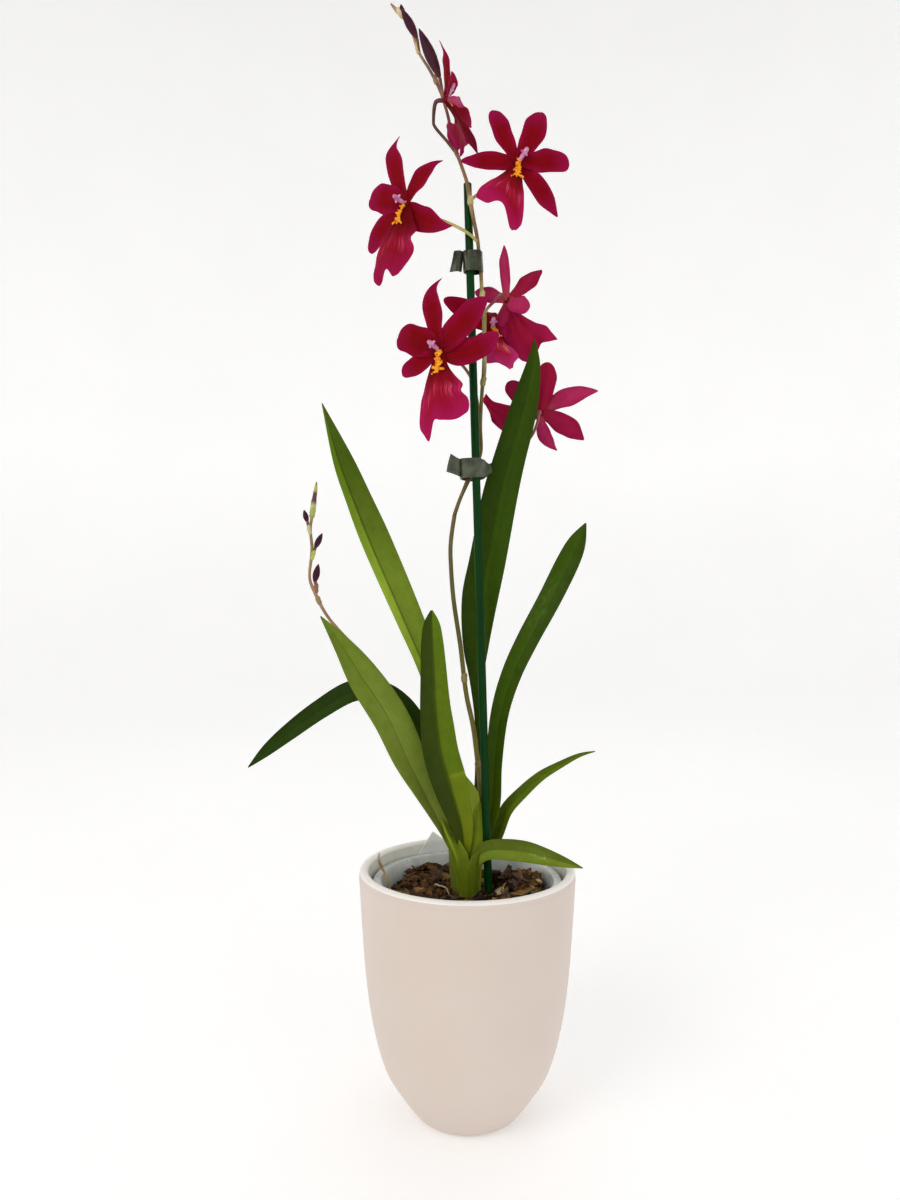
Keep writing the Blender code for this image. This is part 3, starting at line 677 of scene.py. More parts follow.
@dataclass(frozen=True)
class Tinted:
    """A finish that follows the colour of each vertex, with flecks and fine ribs along it."""

    name: str
    fleck: Rgb
    flecks: float
    roughness: float
    scale: float
    depth: float
    stretch: Point = (1.0, 1.0, 0.15)
    contrast: float = 0.35
    specular: float = 0.25

    def make(self) -> Material:
        """Wires up the vertex colour, its flecks and the ribs.

        Returns:
            The material.
        """
        pattern = Pattern(self.name, self.roughness, {"Specular IOR Level": self.specular})
        place = pattern.stretched(pattern.place, self.stretch)
        broad = pattern.grain(pattern.place, self.scale * 0.3)
        tone = pattern.mixed(
            pattern.ranged(broad, *BROAD_BAND, 0, self.contrast), pattern.tint(), DEEP_BROWN
        )
        spots = pattern.ranged(pattern.grain(place, self.scale, 6.0), 0.52, 0.66, 0, self.flecks)
        colour = pattern.mixed(spots, tone, linear(self.fleck))
        ribs = pattern.grain(place, self.scale * 1.6, 5.0)
        rough = pattern.ranged(broad, *BROAD_BAND, self.roughness - 0.08, self.roughness + 0.08)
        return pattern.done(colour, ribs, self.depth, rough)


@dataclass(frozen=True)
class Veined:
    """A blade's finish: its middle, margins, root and tip, with fine veins along it."""

    name: str
    middle: Rgb
    margin: Rgb
    root: Rgb
    tip: Rgb
    vein: Rgb
    veins: float
    strength: float
    blotch: Rgb
    blotches: float
    roughness: float
    depth: float
    midrib: Rgb | None = None
    midrib_width: float = 0.05
    root_from: float = 0.0
    root_reach: float = 0.25
    tip_reach: float = 0.93
    specular: float = 0.5
    ray: Rgb | None = None
    rays: float = 0.0
    ray_places: tuple[float, float, float] = (0.2, 0.38, 0.62)
    bend: float = 0.3

    def make(self) -> Material:
        """Wires up the blade's colours, veins, rays, midrib and relief.

        Returns:
            The material.
        """
        pattern = Pattern(self.name, self.roughness, {"Specular IOR Level": self.specular})
        split = pattern.add("SeparateXYZ", {0: pattern.uv})
        u, reach = split.outputs[0], split.outputs[1]
        wander = pattern.grain(pattern.place, 90.0, 2.0)
        off = pattern.times(pattern.math("ABSOLUTE", pattern.math("SUBTRACT", u, 0.5)), 2.0)
        bent = pattern.plus(off, pattern.times(wander, self.bend))
        side = pattern.ranged(bent, 0.4 + self.bend / 2, 1.0 + self.bend / 2)
        colour = pattern.mixed(side, linear(self.middle), linear(self.margin))
        patches = pattern.grain(pattern.place, 160.0, 5.0)
        blotch = pattern.ranged(patches, 0.42, 0.72, 0, self.blotches)
        colour = pattern.mixed(blotch, colour, linear(self.blotch))
        phase = pattern.plus(pattern.times(u, self.veins), pattern.times(wander, 0.9))
        wave = pattern.math("SINE", pattern.times(phase, 2 * math.pi))
        vein = pattern.ranged(wave, 0.1, 1.0, 0, self.strength)
        colour = pattern.mixed(vein, colour, linear(self.vein))
        if self.ray:
            start, middle, end = self.ray_places
            rise = pattern.ranged(reach, start, middle)
            fall = pattern.ranged(reach, middle, end, 1, 0)
            drawn = pattern.stretched(pattern.uv, (self.veins * 2.6, 2.4, 1))
            light = pattern.ranged(pattern.grain(drawn, 1.0, 2.0), 0.54, 0.66, 0.04, 1)
            band = pattern.times(pattern.times(rise, fall), light)
            colour = pattern.mixed(pattern.times(band, self.rays), colour, linear(self.ray))
        if self.midrib:
            rib = pattern.ranged(off, self.midrib_width, self.midrib_width * 2.4, 0.75, 0)
            colour = pattern.mixed(rib, colour, linear(self.midrib))
        root = pattern.ranged(reach, self.root_from, self.root_reach, 1, 0)
        colour = pattern.mixed(root, colour, linear(self.root))
        tip = pattern.ranged(reach, self.tip_reach, 1.0, 0, 0.8)
        colour = pattern.mixed(tip, colour, linear(self.tip))
        colour = pattern.mixed(1.0, colour, pattern.tint(), "MULTIPLY")
        relief = pattern.plus(pattern.times(wave, 0.35), pattern.grain(pattern.place, 700.0))
        rough = pattern.ranged(wander, *BROAD_BAND, self.roughness - 0.06, self.roughness + 0.08)
        return pattern.done(colour, relief, self.depth, rough)


FINISHES = (
    Mottled(
        "matt_white_glaze", (215, 200, 189), (219, 205, 195), 0.5, 11, 0.03, 900, specular=0.3,
        coat=0.03,
    ),
    # painted highlight: the rim's lighter glaze
    Mottled(
        "painted_rim_highlight", (245, 241, 234), (240, 235, 228), 0.42, 30, 0.03, 900, specular=0.4, coat=0.05
    ),
    Mottled("inner_glaze", (240, 238, 228), (212, 211, 200), 0.3, 60, 0.03, 700, (1, 1, 0.05)),
    Mottled(
        "nursery_plastic", (222, 225, 220), (180, 184, 181), 0.3, 70, 0.05, 500, (1, 1, 0.06),
        transmission=0.08,
    ),
    Tinted("label_plastic", (250, 250, 248), 0.1, 0.38, 120, 0.02, (1, 1, 1), 0.04),
    Tinted("bark_chips", (150, 100, 48), 0.55, 0.8, 380, 0.6, (1, 1, 1), 0.85, 0.08),
    Tinted("dry_root", (226, 206, 168), 0.5, 0.7, 700, 0.12, (1, 1, 0.3)),
    Tinted("bulb_skin", (130, 138, 40), 0.35, 0.45, 300, 0.15, (1, 1, 0.06), 0.4, 0.15),
    Veined(
        "leaf_sheath", (94, 112, 18), (112, 126, 28), (98, 114, 22), (110, 122, 24), (128, 140, 44),
        13, 0.3, (70, 88, 10), 0.4, 0.45, 0.1, root_reach=0.3, specular=0.08,
    ),
    Veined(
        "leaf_sheath_back", (96, 114, 32), (120, 132, 48), (120, 124, 46), (110, 112, 40),
        (140, 150, 60), 16, 0.35, (72, 92, 22), 0.3, 0.45, 0.1, specular=0.25,
    ),
    Veined(
        "leaf_upper", (86, 108, 14), (80, 102, 11), (112, 128, 24), (96, 100, 22), (102, 122, 26),
        15, 0.16, (64, 88, 6), 0.45, 0.42, 0.08, midrib=(60, 80, 8), midrib_width=0.02,
        root_reach=0.3, tip_reach=0.985, specular=0.07,
    ),
    Veined(
        "leaf_under", (92, 112, 26), (86, 106, 22), (116, 130, 34), (98, 106, 30), (104, 124, 38),
        15, 0.16, (70, 92, 16), 0.35, 0.48, 0.08, midrib=(112, 130, 42), midrib_width=0.025,
        root_reach=0.3, tip_reach=0.985, specular=0.07,
    ),
    Tinted("stem_skin", (170, 152, 90), 0.2, 0.45, 650, 0.08, (1, 1, 0.12)),
    Mottled(
        "stake_plastic", (3, 56, 9), (1, 44, 5), 0.42, 300, 0.06, 900, (1, 1, 0.04), specular=0.1
    ),
    Mottled("clip_tape", (54, 62, 34), (26, 32, 14), 0.28, 190, 0.14, 800, specular=0.4),
    Mottled("worn_clip_tape", (84, 92, 70), (46, 53, 37), 0.34, 150, 0.14, 800, specular=0.4),
    Veined(
        "petal_face", (127, 1, 18), (144, 6, 58), (112, 1, 13), (150, 12, 74), (106, 1, 16), 11,
        0.16, (112, 1, 12), 0.5, 0.62, 0.05, specular=0.05, tip_reach=0.55, bend=0.7,
    ),
    Veined(
        "petal_back", (170, 36, 86), (154, 20, 74), (170, 60, 66), (150, 14, 66), (192, 66, 112),
        11, 0.24, (142, 6, 46), 0.5, 0.6, 0.05, specular=0.08, bend=0.7,
    ),
    Veined(
        "lip_face", (142, 2, 28), (166, 20, 82), (108, 1, 9), (164, 18, 84), (124, 2, 26), 15, 0.18,
        (162, 10, 54), 0.5, 0.55, 0.07, root_from=0.3, root_reach=0.58, specular=0.06,
        ray=(222, 84, 118), rays=0.75, ray_places=(0.45, 0.56, 0.73), tip_reach=0.7, bend=0.7,
    ),
    Veined(
        "lip_back", (150, 8, 50), (158, 16, 72), (152, 40, 70), (152, 12, 66), (138, 6, 46), 11,
        0.16, (166, 24, 74), 0.4, 0.55, 0.06, specular=0.08, bend=0.7,
    ),
    Mottled("crest_warts", (252, 176, 6), (234, 124, 2), 0.42, 500, 0.15, 2600, specular=0.3),
    Mottled("column_skin", (222, 160, 196), (170, 82, 140), 0.42, 420, 0.06, 1800, specular=0.4),
    Mottled("heart_skin", (124, 6, 34), (96, 2, 20), 0.55, 300, 0.06, 1600, specular=0.1),
    Tinted("bud_skin", (92, 24, 62), 0.25, 0.45, 500, 0.06, (1, 1, 0.2), 0.4, 0.12),
    Mottled(
        "pale_floor", (250, 250, 250), (252, 252, 252), 0.8, 3, 0.1, 300, specular=0.1, glow=0.2
    ),
)


@dataclass
class CoverPot:
    """The ceramic pot: its side and rim as heights and outer radii, and its wall."""

    side: Stops = (
        (0, 28), (2.5, 32.5), (8, 37), (16, 42.5), (28, 49.8), (45, 55.3), (68, 59.8), (96, 62.8),
        (142, 65.88),
    )
    rim: Stops = (
        (143.2, 65.84), (143.9, 65.55), (144.6, 65.8), (146.2, 65.6), (147.5, 64.7), (148, 63.2),
        (147.7, 61.7), (146.9, 60.6), (145.8, 60.2),
    )
    inner_heights: Sequence[float] = (14, 20, 28, 36, 45, 56, 68, 82, 96, 110, 124, 136)
    glossy: float = 145.0
    # above this height the rim takes a lighter glaze, a painted highlight
    bright: float = 146.2
    wall: float = 5.7
    floor: float = 7.0
    foot_edge: float = 1.2
    steps: int = 144
    side_readings: int = 48

    def inner_radius(self, height: float) -> float:
        """The radius inside the pot at a height.

        Args:
            height: in millimetres above the foot.

        Returns:
            The radius, in millimetres.
        """
        inside = [(z, radius - self.wall) for z, radius in self.side]
        for (z0, r0), (z1, r1) in zip(inside, inside[1:]):
            if z0 <= height <= z1:
                return r0 + (r1 - r0) * (height - z0) / (z1 - z0)
        return inside[-1][1]

    def profile(self) -> list[tuple[float, float]]:
        """The closed line that is turned, from the axis inside, over the rim, to the axis below.

        Returns:
            Heights and radii, in millimetres.
        """
        read = smooth_points([(radius, 0.0, z) for z, radius in self.side[1:]], self.side_readings)
        outer = [(z, radius) for radius, _, z in reversed(read)]
        inner = [(self.floor, 0), (self.floor + 0.6, 26)]
        inner += [(z, self.inner_radius(z)) for z in self.inner_heights]
        sole = self.side[0][1]
        foot = [(0.8, sole + self.foot_edge), (0, sole - self.foot_edge), (0, 0)]
        return inner + list(reversed(self.rim)) + outer + foot

    def build(self, finishes: Materials) -> Piece:
        """The pot, glazed a little glossier inside, with a painted highlight on its rim.

        Args:
            finishes: the materials by name.

        Returns:
            The piece.
        """
        glazes = [finishes[name] for name in ("matt_white_glaze", "inner_glaze", "painted_rim_highlight")]
        made = spun("ceramic_pot", self.profile(), self.steps, glazes)
        for face in made.data.polygons:
            radius = math.hypot(face.center.x, face.center.y) / MM
            height = face.center.z / MM
            inside = height < self.glossy and radius < self.inner_radius(height) + self.wall * 0.4
            face.material_index = int(inside and height > self.floor - 1)
            # the rim's lighter glaze is a painted highlight
            if height > self.bright:
                face.material_index = 2
        return fit(made, "ceramic_white", "pot")


@dataclass
class NurseryPot:
    """The thin tapered plastic pot inside, with its flange."""

    pot: CoverPot
    top: float = 140.5
    base: float = 28.5
    radius: float = 53.2
    flange: float = 57.4
    wall: float = 1.0
    gap: float = 0.3
    steps: int = 120

    def outer_radius(self, height: float) -> float:
        """The outer radius of the wall at a height."""
        foot = self.pot.inner_radius(self.base) - self.gap
        return foot + (self.radius - foot) * (height - self.base) / (self.top - 1 - self.base)

    def build(self, finishes: Materials) -> Piece:
        """The pot, with a step in its wall under the flange and a rolled edge.

        Args:
            finishes: the materials by name.

        Returns:
            The piece.
        """
        top, base, wall = self.top, self.base, self.wall
        inner = [(z, self.outer_radius(z) - wall) for z in (60, 90, 115, 128)]
        profile = [
            (base + wall, 0), (base + wall, self.outer_radius(base) - wall), *inner,
            (139.6, self.outer_radius(139.6) - wall), (top, self.radius - 0.2),
            (top, self.flange - 0.9), (top - 0.2, self.flange - 0.2), (top - 0.6, self.flange),
            (top - 1, self.flange - 0.3), (top - 1, self.radius), (base, self.outer_radius(base)),
            (base, 0),
        ]
        made = spun("nursery_pot_shell", profile, self.steps, [finishes["nursery_plastic"]])
        made.data.set_sharp_from_angle(angle=math.radians(SHARP["pot"]))
        return fit(made, "nursery_plastic", "nursery_pot")


@dataclass
class PlantLabel:
    """A plain label tucked between the two pots, with one corner up."""

    pot: CoverPot
    thickness: float = 0.8
    azimuth: float = math.radians(112)
    width: float = 17.0
    length: float = 34.0
    turn: float = math.radians(38)
    corner: float = 154.3
    gap: float = 0.3
    shaded: float = 146.4
    dark: float = 0.78
    edge: float = 0.15

    def place(self, reach: float, v: float) -> Vector:
        """A point of the label, bent to the round of the pots.

        Args:
            reach: the share of the way to the tip.
            v: the place across, from -1 to 1.

        Returns:
            The point, in millimetres.
        """
        down = Vector((-math.sin(self.turn), -math.cos(self.turn))) * self.length * reach
        over = Vector((math.cos(self.turn), -math.sin(self.turn))) * self.width * (v + 1) / 2
        flat = down + over
        z = self.corner + flat.y
        radius = self.pot.inner_radius(min(z, self.pot.side[-1][0])) - self.gap - self.thickness
        angle = self.azimuth - flat.x / radius
        return Vector((radius * math.cos(angle), radius * math.sin(angle), z))

    def build(self, finishes: Materials) -> Piece:
        """The label, with its edges softened.

        Args:
            finishes: the materials by name.

        Returns:
            The piece.
        """

        def tone(reach: float, v: float) -> Rgb:
            """How bright the label is, which is shaded below the rim.

            Args:
                reach: the share of the way to the tip.
                v: the place across, from -1 to 1.

            Returns:
                What the finish is multiplied by.
            """
            share = clamped((self.place(reach, v).z - self.shaded) / 2)
            level = self.dark + (1 - self.dark) * share
            return (level, level, level * 0.97)

        form = new_form()
        add_blade(form, 16, 10, self.place, None, tone)
        made = finished(form, "label_sheet", [finishes["label_plastic"]], outward=False)
        thickened(made, self.thickness, 0)
        edge = made.modifiers.new("edge", "BEVEL")
        edge.width = self.edge * MM
        edge.segments = 2
        return fit(baked(made), "label_plastic", "plant_label")


@dataclass
class BarkBed:
    """The bark: a bed under many loose chips, heaped where the photo shows it heaped."""

    nursery: NurseryPot
    level: float = 127.0
    chips: int = 360
    spread: float = 50.5
    clear_of_bulb: float = 6.5
    bulb: tuple[float, float] = (-2.0, 9.5)
    mounds: Sequence[tuple[float, ...]] = ((-22, 28, 20, 16, 8.5), (38, 18, 18, 18, 9))
    length: tuple[float, float] = (5.0, 15.0)
    width: tuple[float, float] = (3.0, 8.5)
    depth: tuple[float, float] = (1.6, 4.5)
    rough: float = 0.42
    fine: float = 0.1
    tilt: tuple[float, float] = (0.34, 0.26)
    shades: Sequence[Rgb] = (
        (90, 58, 24), (50, 29, 12), (124, 82, 36), (28, 17, 8), (150, 106, 50), (84, 66, 50),
        (38, 25, 16), (22, 14, 8), (184, 144, 84), (116, 104, 90),
    )
    straws: int = 46
    straw_shades: Sequence[Rgb] = ((170, 132, 84), (206, 178, 128), (140, 108, 62))
    # near black: painted shadow in the gaps between the chips
    bed_gap_shadow: Rgb = (24, 14, 9)
    bits: Sequence[tuple[float, float, float, Rgb]] = (
        (19, 1, 0.62, (232, 204, 150)), (45, 7.5, 0.5, (228, 198, 142)),
        (28.5, 7, 1.05, (128, 120, 110)), (34, 13, 0.8, (150, 104, 56)),
        (-28, 5, 0.7, (166, 128, 78)), (-22, 25, 0.9, (120, 84, 46)), (14, 18, 0.8, (146, 100, 58)),
    )

    def heap(self, x: float, y: float) -> float:
        """How far the bark rises above its usual level.

        Args:
            x: in millimetres.
            y: in millimetres.

        Returns:
            The rise, in millimetres.
        """
        return sum(
            height * math.exp(-(((x - at_x) / wide) ** 2 + ((y - at_y) / deep) ** 2))
            for at_x, at_y, wide, deep, height in self.mounds
        )

    def add_bed(self, form: Form) -> None:
        """Adds the body of bark below the chips, near black as painted shadow in their gaps.

        Args:
            form: the mesh that takes it.
        """
        radius = self.nursery.outer_radius(self.level) - self.nursery.wall - self.nursery.gap
        foot = self.nursery.outer_radius(self.nursery.base) - self.nursery.wall - self.nursery.gap
        low = self.nursery.base + self.nursery.wall + self.nursery.gap
        place = Matrix.Translation((0, 0, (self.level + low) / 2 * MM))
        made = bmesh.ops.create_cone(
            form, cap_ends=True, segments=72, radius1=foot * MM, radius2=radius * MM,
            depth=(self.level - low) * MM, matrix=place,
        )
        layer = form.verts.layers.float_color[TINT]
        for vert in made["verts"]:
            vert[layer] = linear(self.bed_gap_shadow)
            vert.tag = True

    def add_chip(
        self, form: Form, rng: random.Random, x: float, y: float, size: float,
        colour: Rgb | None = None,
    ) -> None:
        """Adds one rough chip: a block cut finer, with its corners and faces pulled about.

        Args:
            form: the mesh that takes it.
            rng: the source of the random draws.
            x: in millimetres.
            y: in millimetres.
            size: what its draws are multiplied by.
            colour: its screen colour, or none for a drawn one.
        """
        layer = form.verts.layers.float_color[TINT]
        cube = bmesh.ops.create_cube(form, size=1.0)["verts"]
        bmesh.ops.subdivide_edges(form, edges=edges_at(cube), cuts=2, use_grid_fill=True)
        fresh = [vert for vert in form.verts if not vert.tag]
        shift = Vector((rng.uniform(-9, 9), rng.uniform(-9, 9), rng.uniform(-9, 9)))
        for vert in fresh:
            pull = noise.noise_vector(vert.co * 1.3 + shift) * self.rough
            pull += noise.noise_vector(vert.co * 4 + shift) * self.fine
            vert.co = vert.co * (0.78 + 0.22 * (1 - max(abs(k) for k in vert.co))) + pull
        limits = (self.length, self.width, self.depth)
        sizes = Vector([rng.uniform(*limit) * size for limit in limits])
        turn = Matrix.Rotation(rng.uniform(0, math.pi), 4, "Z")
        turn = turn @ Matrix.Rotation(rng.gauss(0, self.tilt[0]), 4, "X")
        turn = turn @ Matrix.Rotation(rng.gauss(0, self.tilt[1]), 4, "Y")
        height = self.level + self.heap(x, y) + (3.4 if colour else rng.uniform(-0.6, 2.4))
        place = Matrix.Translation(Vector((x, y, height)) * MM) @ turn
        scale = Matrix.Diagonal(sizes * MM).to_4x4()
        bmesh.ops.transform(form, matrix=place @ scale, verts=fresh)
        if not colour:
            colour = tuple(Vector(rng.choice(self.shades)) * rng.uniform(0.55, 1.15))
        for vert in fresh:
            vert[layer] = linear(colour)
            vert.tag = True

    def add_straw(self, form: Form, rng: random.Random) -> None:
        """Adds one thin fibre that lies over the chips.

        Args:
            form: the mesh that takes it.
            rng: the source of the random draws.
        """
        angle, radius = rng.uniform(0, 2 * math.pi), self.spread * math.sqrt(rng.random()) * 0.95
        x, y = radius * math.cos(angle), radius * math.sin(angle)
        heading, length = rng.uniform(0, math.pi), rng.uniform(6, 18)
        step = Vector((math.cos(heading), math.sin(heading), 0)) * length / 2
        height = self.level + self.heap(x, y) + rng.uniform(1.2, 3.4)
        bend = Vector((rng.uniform(-2, 2), rng.uniform(-2, 2), rng.uniform(0, 2.2)))
        middle = Vector((x, y, height))
        route = []
        for point, thin in ((middle - step, 0.12), (middle + bend, 0.26), (middle + step, 0.12)):
            reach = math.hypot(point.x, point.y)
            inward = min(1.0, (self.spread + 1.0) / max(reach, 1e-6))
            route.append((point.x * inward, point.y * inward, point.z - 1.0, thin))
        shade = rng.choice(self.straw_shades)
        add_stem(form, route, 8, 5, [(0, shade), (1, shade)])

    def build(self, finishes: Materials) -> Piece:
        """Bed, chips and fibres as one piece.

        Args:
            finishes: the materials by name.

        Returns:
            The piece.
        """
        rng = random.Random(SEED)
        form = new_form()
        self.add_bed(form)
        for i in range(self.chips):
            radius = self.spread * math.sqrt((i + 0.5) / self.chips)
            angle = i * math.pi * (3 - math.sqrt(5)) + rng.uniform(-0.1, 0.1)
            x, y = radius * math.cos(angle), radius * math.sin(angle)
            edge = 1.0 - 0.4 * max(0.0, (radius - 40) / 10)
            if math.dist((x, y), self.bulb) > self.clear_of_bulb:
                self.add_chip(form, rng, x * (1 - 0.04 * edge), y * (1 - 0.04 * edge), edge)
        for x, y, size, colour in self.bits:
            self.add_chip(form, rng, x, y, size, colour)
        for _ in range(self.straws):
            self.add_straw(form, rng)
        made = finished(form, "bark_chips", [finishes["bark_chips"]])
        made.data.set_sharp_from_angle(angle=math.radians(SHARP["bark"]))
        return fit(made, "bark", "bark")


@dataclass
class Roots:
    """Roots that show above the bark, with a few hair roots beside them."""

    routes: dict[str, Sequence[Station]] = field(default_factory=lambda: {
        "root_aerial": (
            (-44.5, 9, 121, 1), (-48.4, 8, 132, 0.9), (-49.8, 7.5, 139.5, 0.85),
            (-52.8, 7.5, 144, 0.8), (-54.8, 8, 149, 0.75), (-54.5, 8.5, 153.5, 0.5),
        ),
        "root_1": (
            (23, 24, 122, 0.5), (25, 18, 131.5, 0.55), (24.5, 10, 134, 0.5), (22.5, 3, 133.4, 0.45),
            (21, -6, 124, 0.4),
        ),
        "root_2": (
            (34, 20, 122, 0.5), (36, 13, 131.5, 0.55), (39.5, 7, 133, 0.5), (42.5, 2, 132, 0.45),
            (44, -4, 122, 0.4),
        ),
        "root_3": (
            (-16, 22, 121, 0.45), (-20, 13, 131.5, 0.5), (-17, 7, 133.2, 0.5),
            (-12, 1, 132.4, 0.45), (-7, -8, 121, 0.4),
        ),
    })
    brown: Rgb = (150, 112, 72)
    cream: Rgb = (214, 186, 144)
    wander: float = 0.35

    def build(self, finishes: Materials) -> list[Piece]:
        """One piece for each root.

        Args:
            finishes: the materials by name.

        Returns:
            The pieces.
        """
        made = []
        for node, route in self.routes.items():
            form = new_form()
            read = smooth_points(route, 44)
            for i, station in enumerate(read):
                sway = noise.noise_vector(Vector((i * 0.35, len(node), station[0]))) * self.wander
                for k in range(3):
                    station[k] += sway[k]
                station[3] *= 1 + 0.22 * noise.noise(Vector((i * 0.9, station[0], 3.0)))
            shades = [(0, self.brown), (0.5, self.cream), (0.8, self.brown), (1, (232, 214, 180))]
            add_tube(form, read, 12, shades)
            made.append(fit(finished(form, node + "_skin", [finishes["dry_root"]]), "root", node))
        return made


@dataclass
class Pseudobulb:
    """The sheathed bulb: its oval sections; the leaf sheaths that wrap its foot are Sheath pieces.
    """

    sections: Sequence[tuple[float, float, float, float, float]] = (
        (114, -2, 9.5, 5, 5), (124, -2, 9.5, 7.6, 7), (134, -2, 9.5, 8.2, 7.6),
        (146, -1.8, 9.5, 9.4, 7.4), (156, -1.6, 9.8, 9.8, 6.2), (166, -1.2, 10.2, 8.6, 4.4),
        (174, -1, 10.6, 5.4, 2.4), (178, -1, 10.8, 1.6, 0.8),
    )
    shades: Tints = (
        (0, (120, 120, 50)), (0.35, (98, 114, 30)), (0.75, (112, 130, 40)), (1, (126, 142, 52))
    )
    rings: int = 40
    sides: int = 48
    rib: float = 0.28
    ribs: int = 9

    def __post_init__(self) -> None:
        """Reads the smooth line through the sections."""
        rows = [(x, y, z, wide, deep) for z, x, y, wide, deep in self.sections]
        self.read = smooth_points(rows, FINE + 1)

    def surface(self, reach: float, angle: float) -> Vector:
        """A point on the bulb, whose ribs fade out at its top.

        Args:
            reach: the share of the way up.
            angle: round the bulb, in radians.

        Returns:
            The point, in millimetres.
        """
        x, y, z, wide, deep = self.read[round(reach * FINE)]
        swell = self.rib * math.sin(self.ribs * angle + 2 * reach) * min(1.0, 4 * (1 - reach))
        over, up = (wide + swell) * math.cos(angle), (deep + swell) * math.sin(angle)
        return Vector((x + over, y + up, z))

    def build(self, finishes: Materials) -> Piece:
        """The ribbed body of the bulb.

        Args:
            finishes: the materials by name.

        Returns:
            The piece.
        """
        form = new_form()
        layer = form.verts.layers.float_color[TINT]
        ring, edges = first_ring(form, self.sides)
        angles = {vert: math.atan2(vert.co.y, vert.co.x) for vert in ring}
        for i in range(self.rings + 1):
            if i:
                ring, edges = next_ring(form, edges)
                angles = carried(angles, ring)
            for vert in ring:
                vert.co = self.surface(i / self.rings, angles[vert]) * MM
                vert[layer] = read_tints(self.shades, i / self.rings)
            if i in (0, self.rings):
                bmesh.ops.edgeloop_fill(form, edges=edges)
        return fit(finished(form, "bulb_body", [finishes["bulb_skin"]]), "bulb", "pseudobulb")


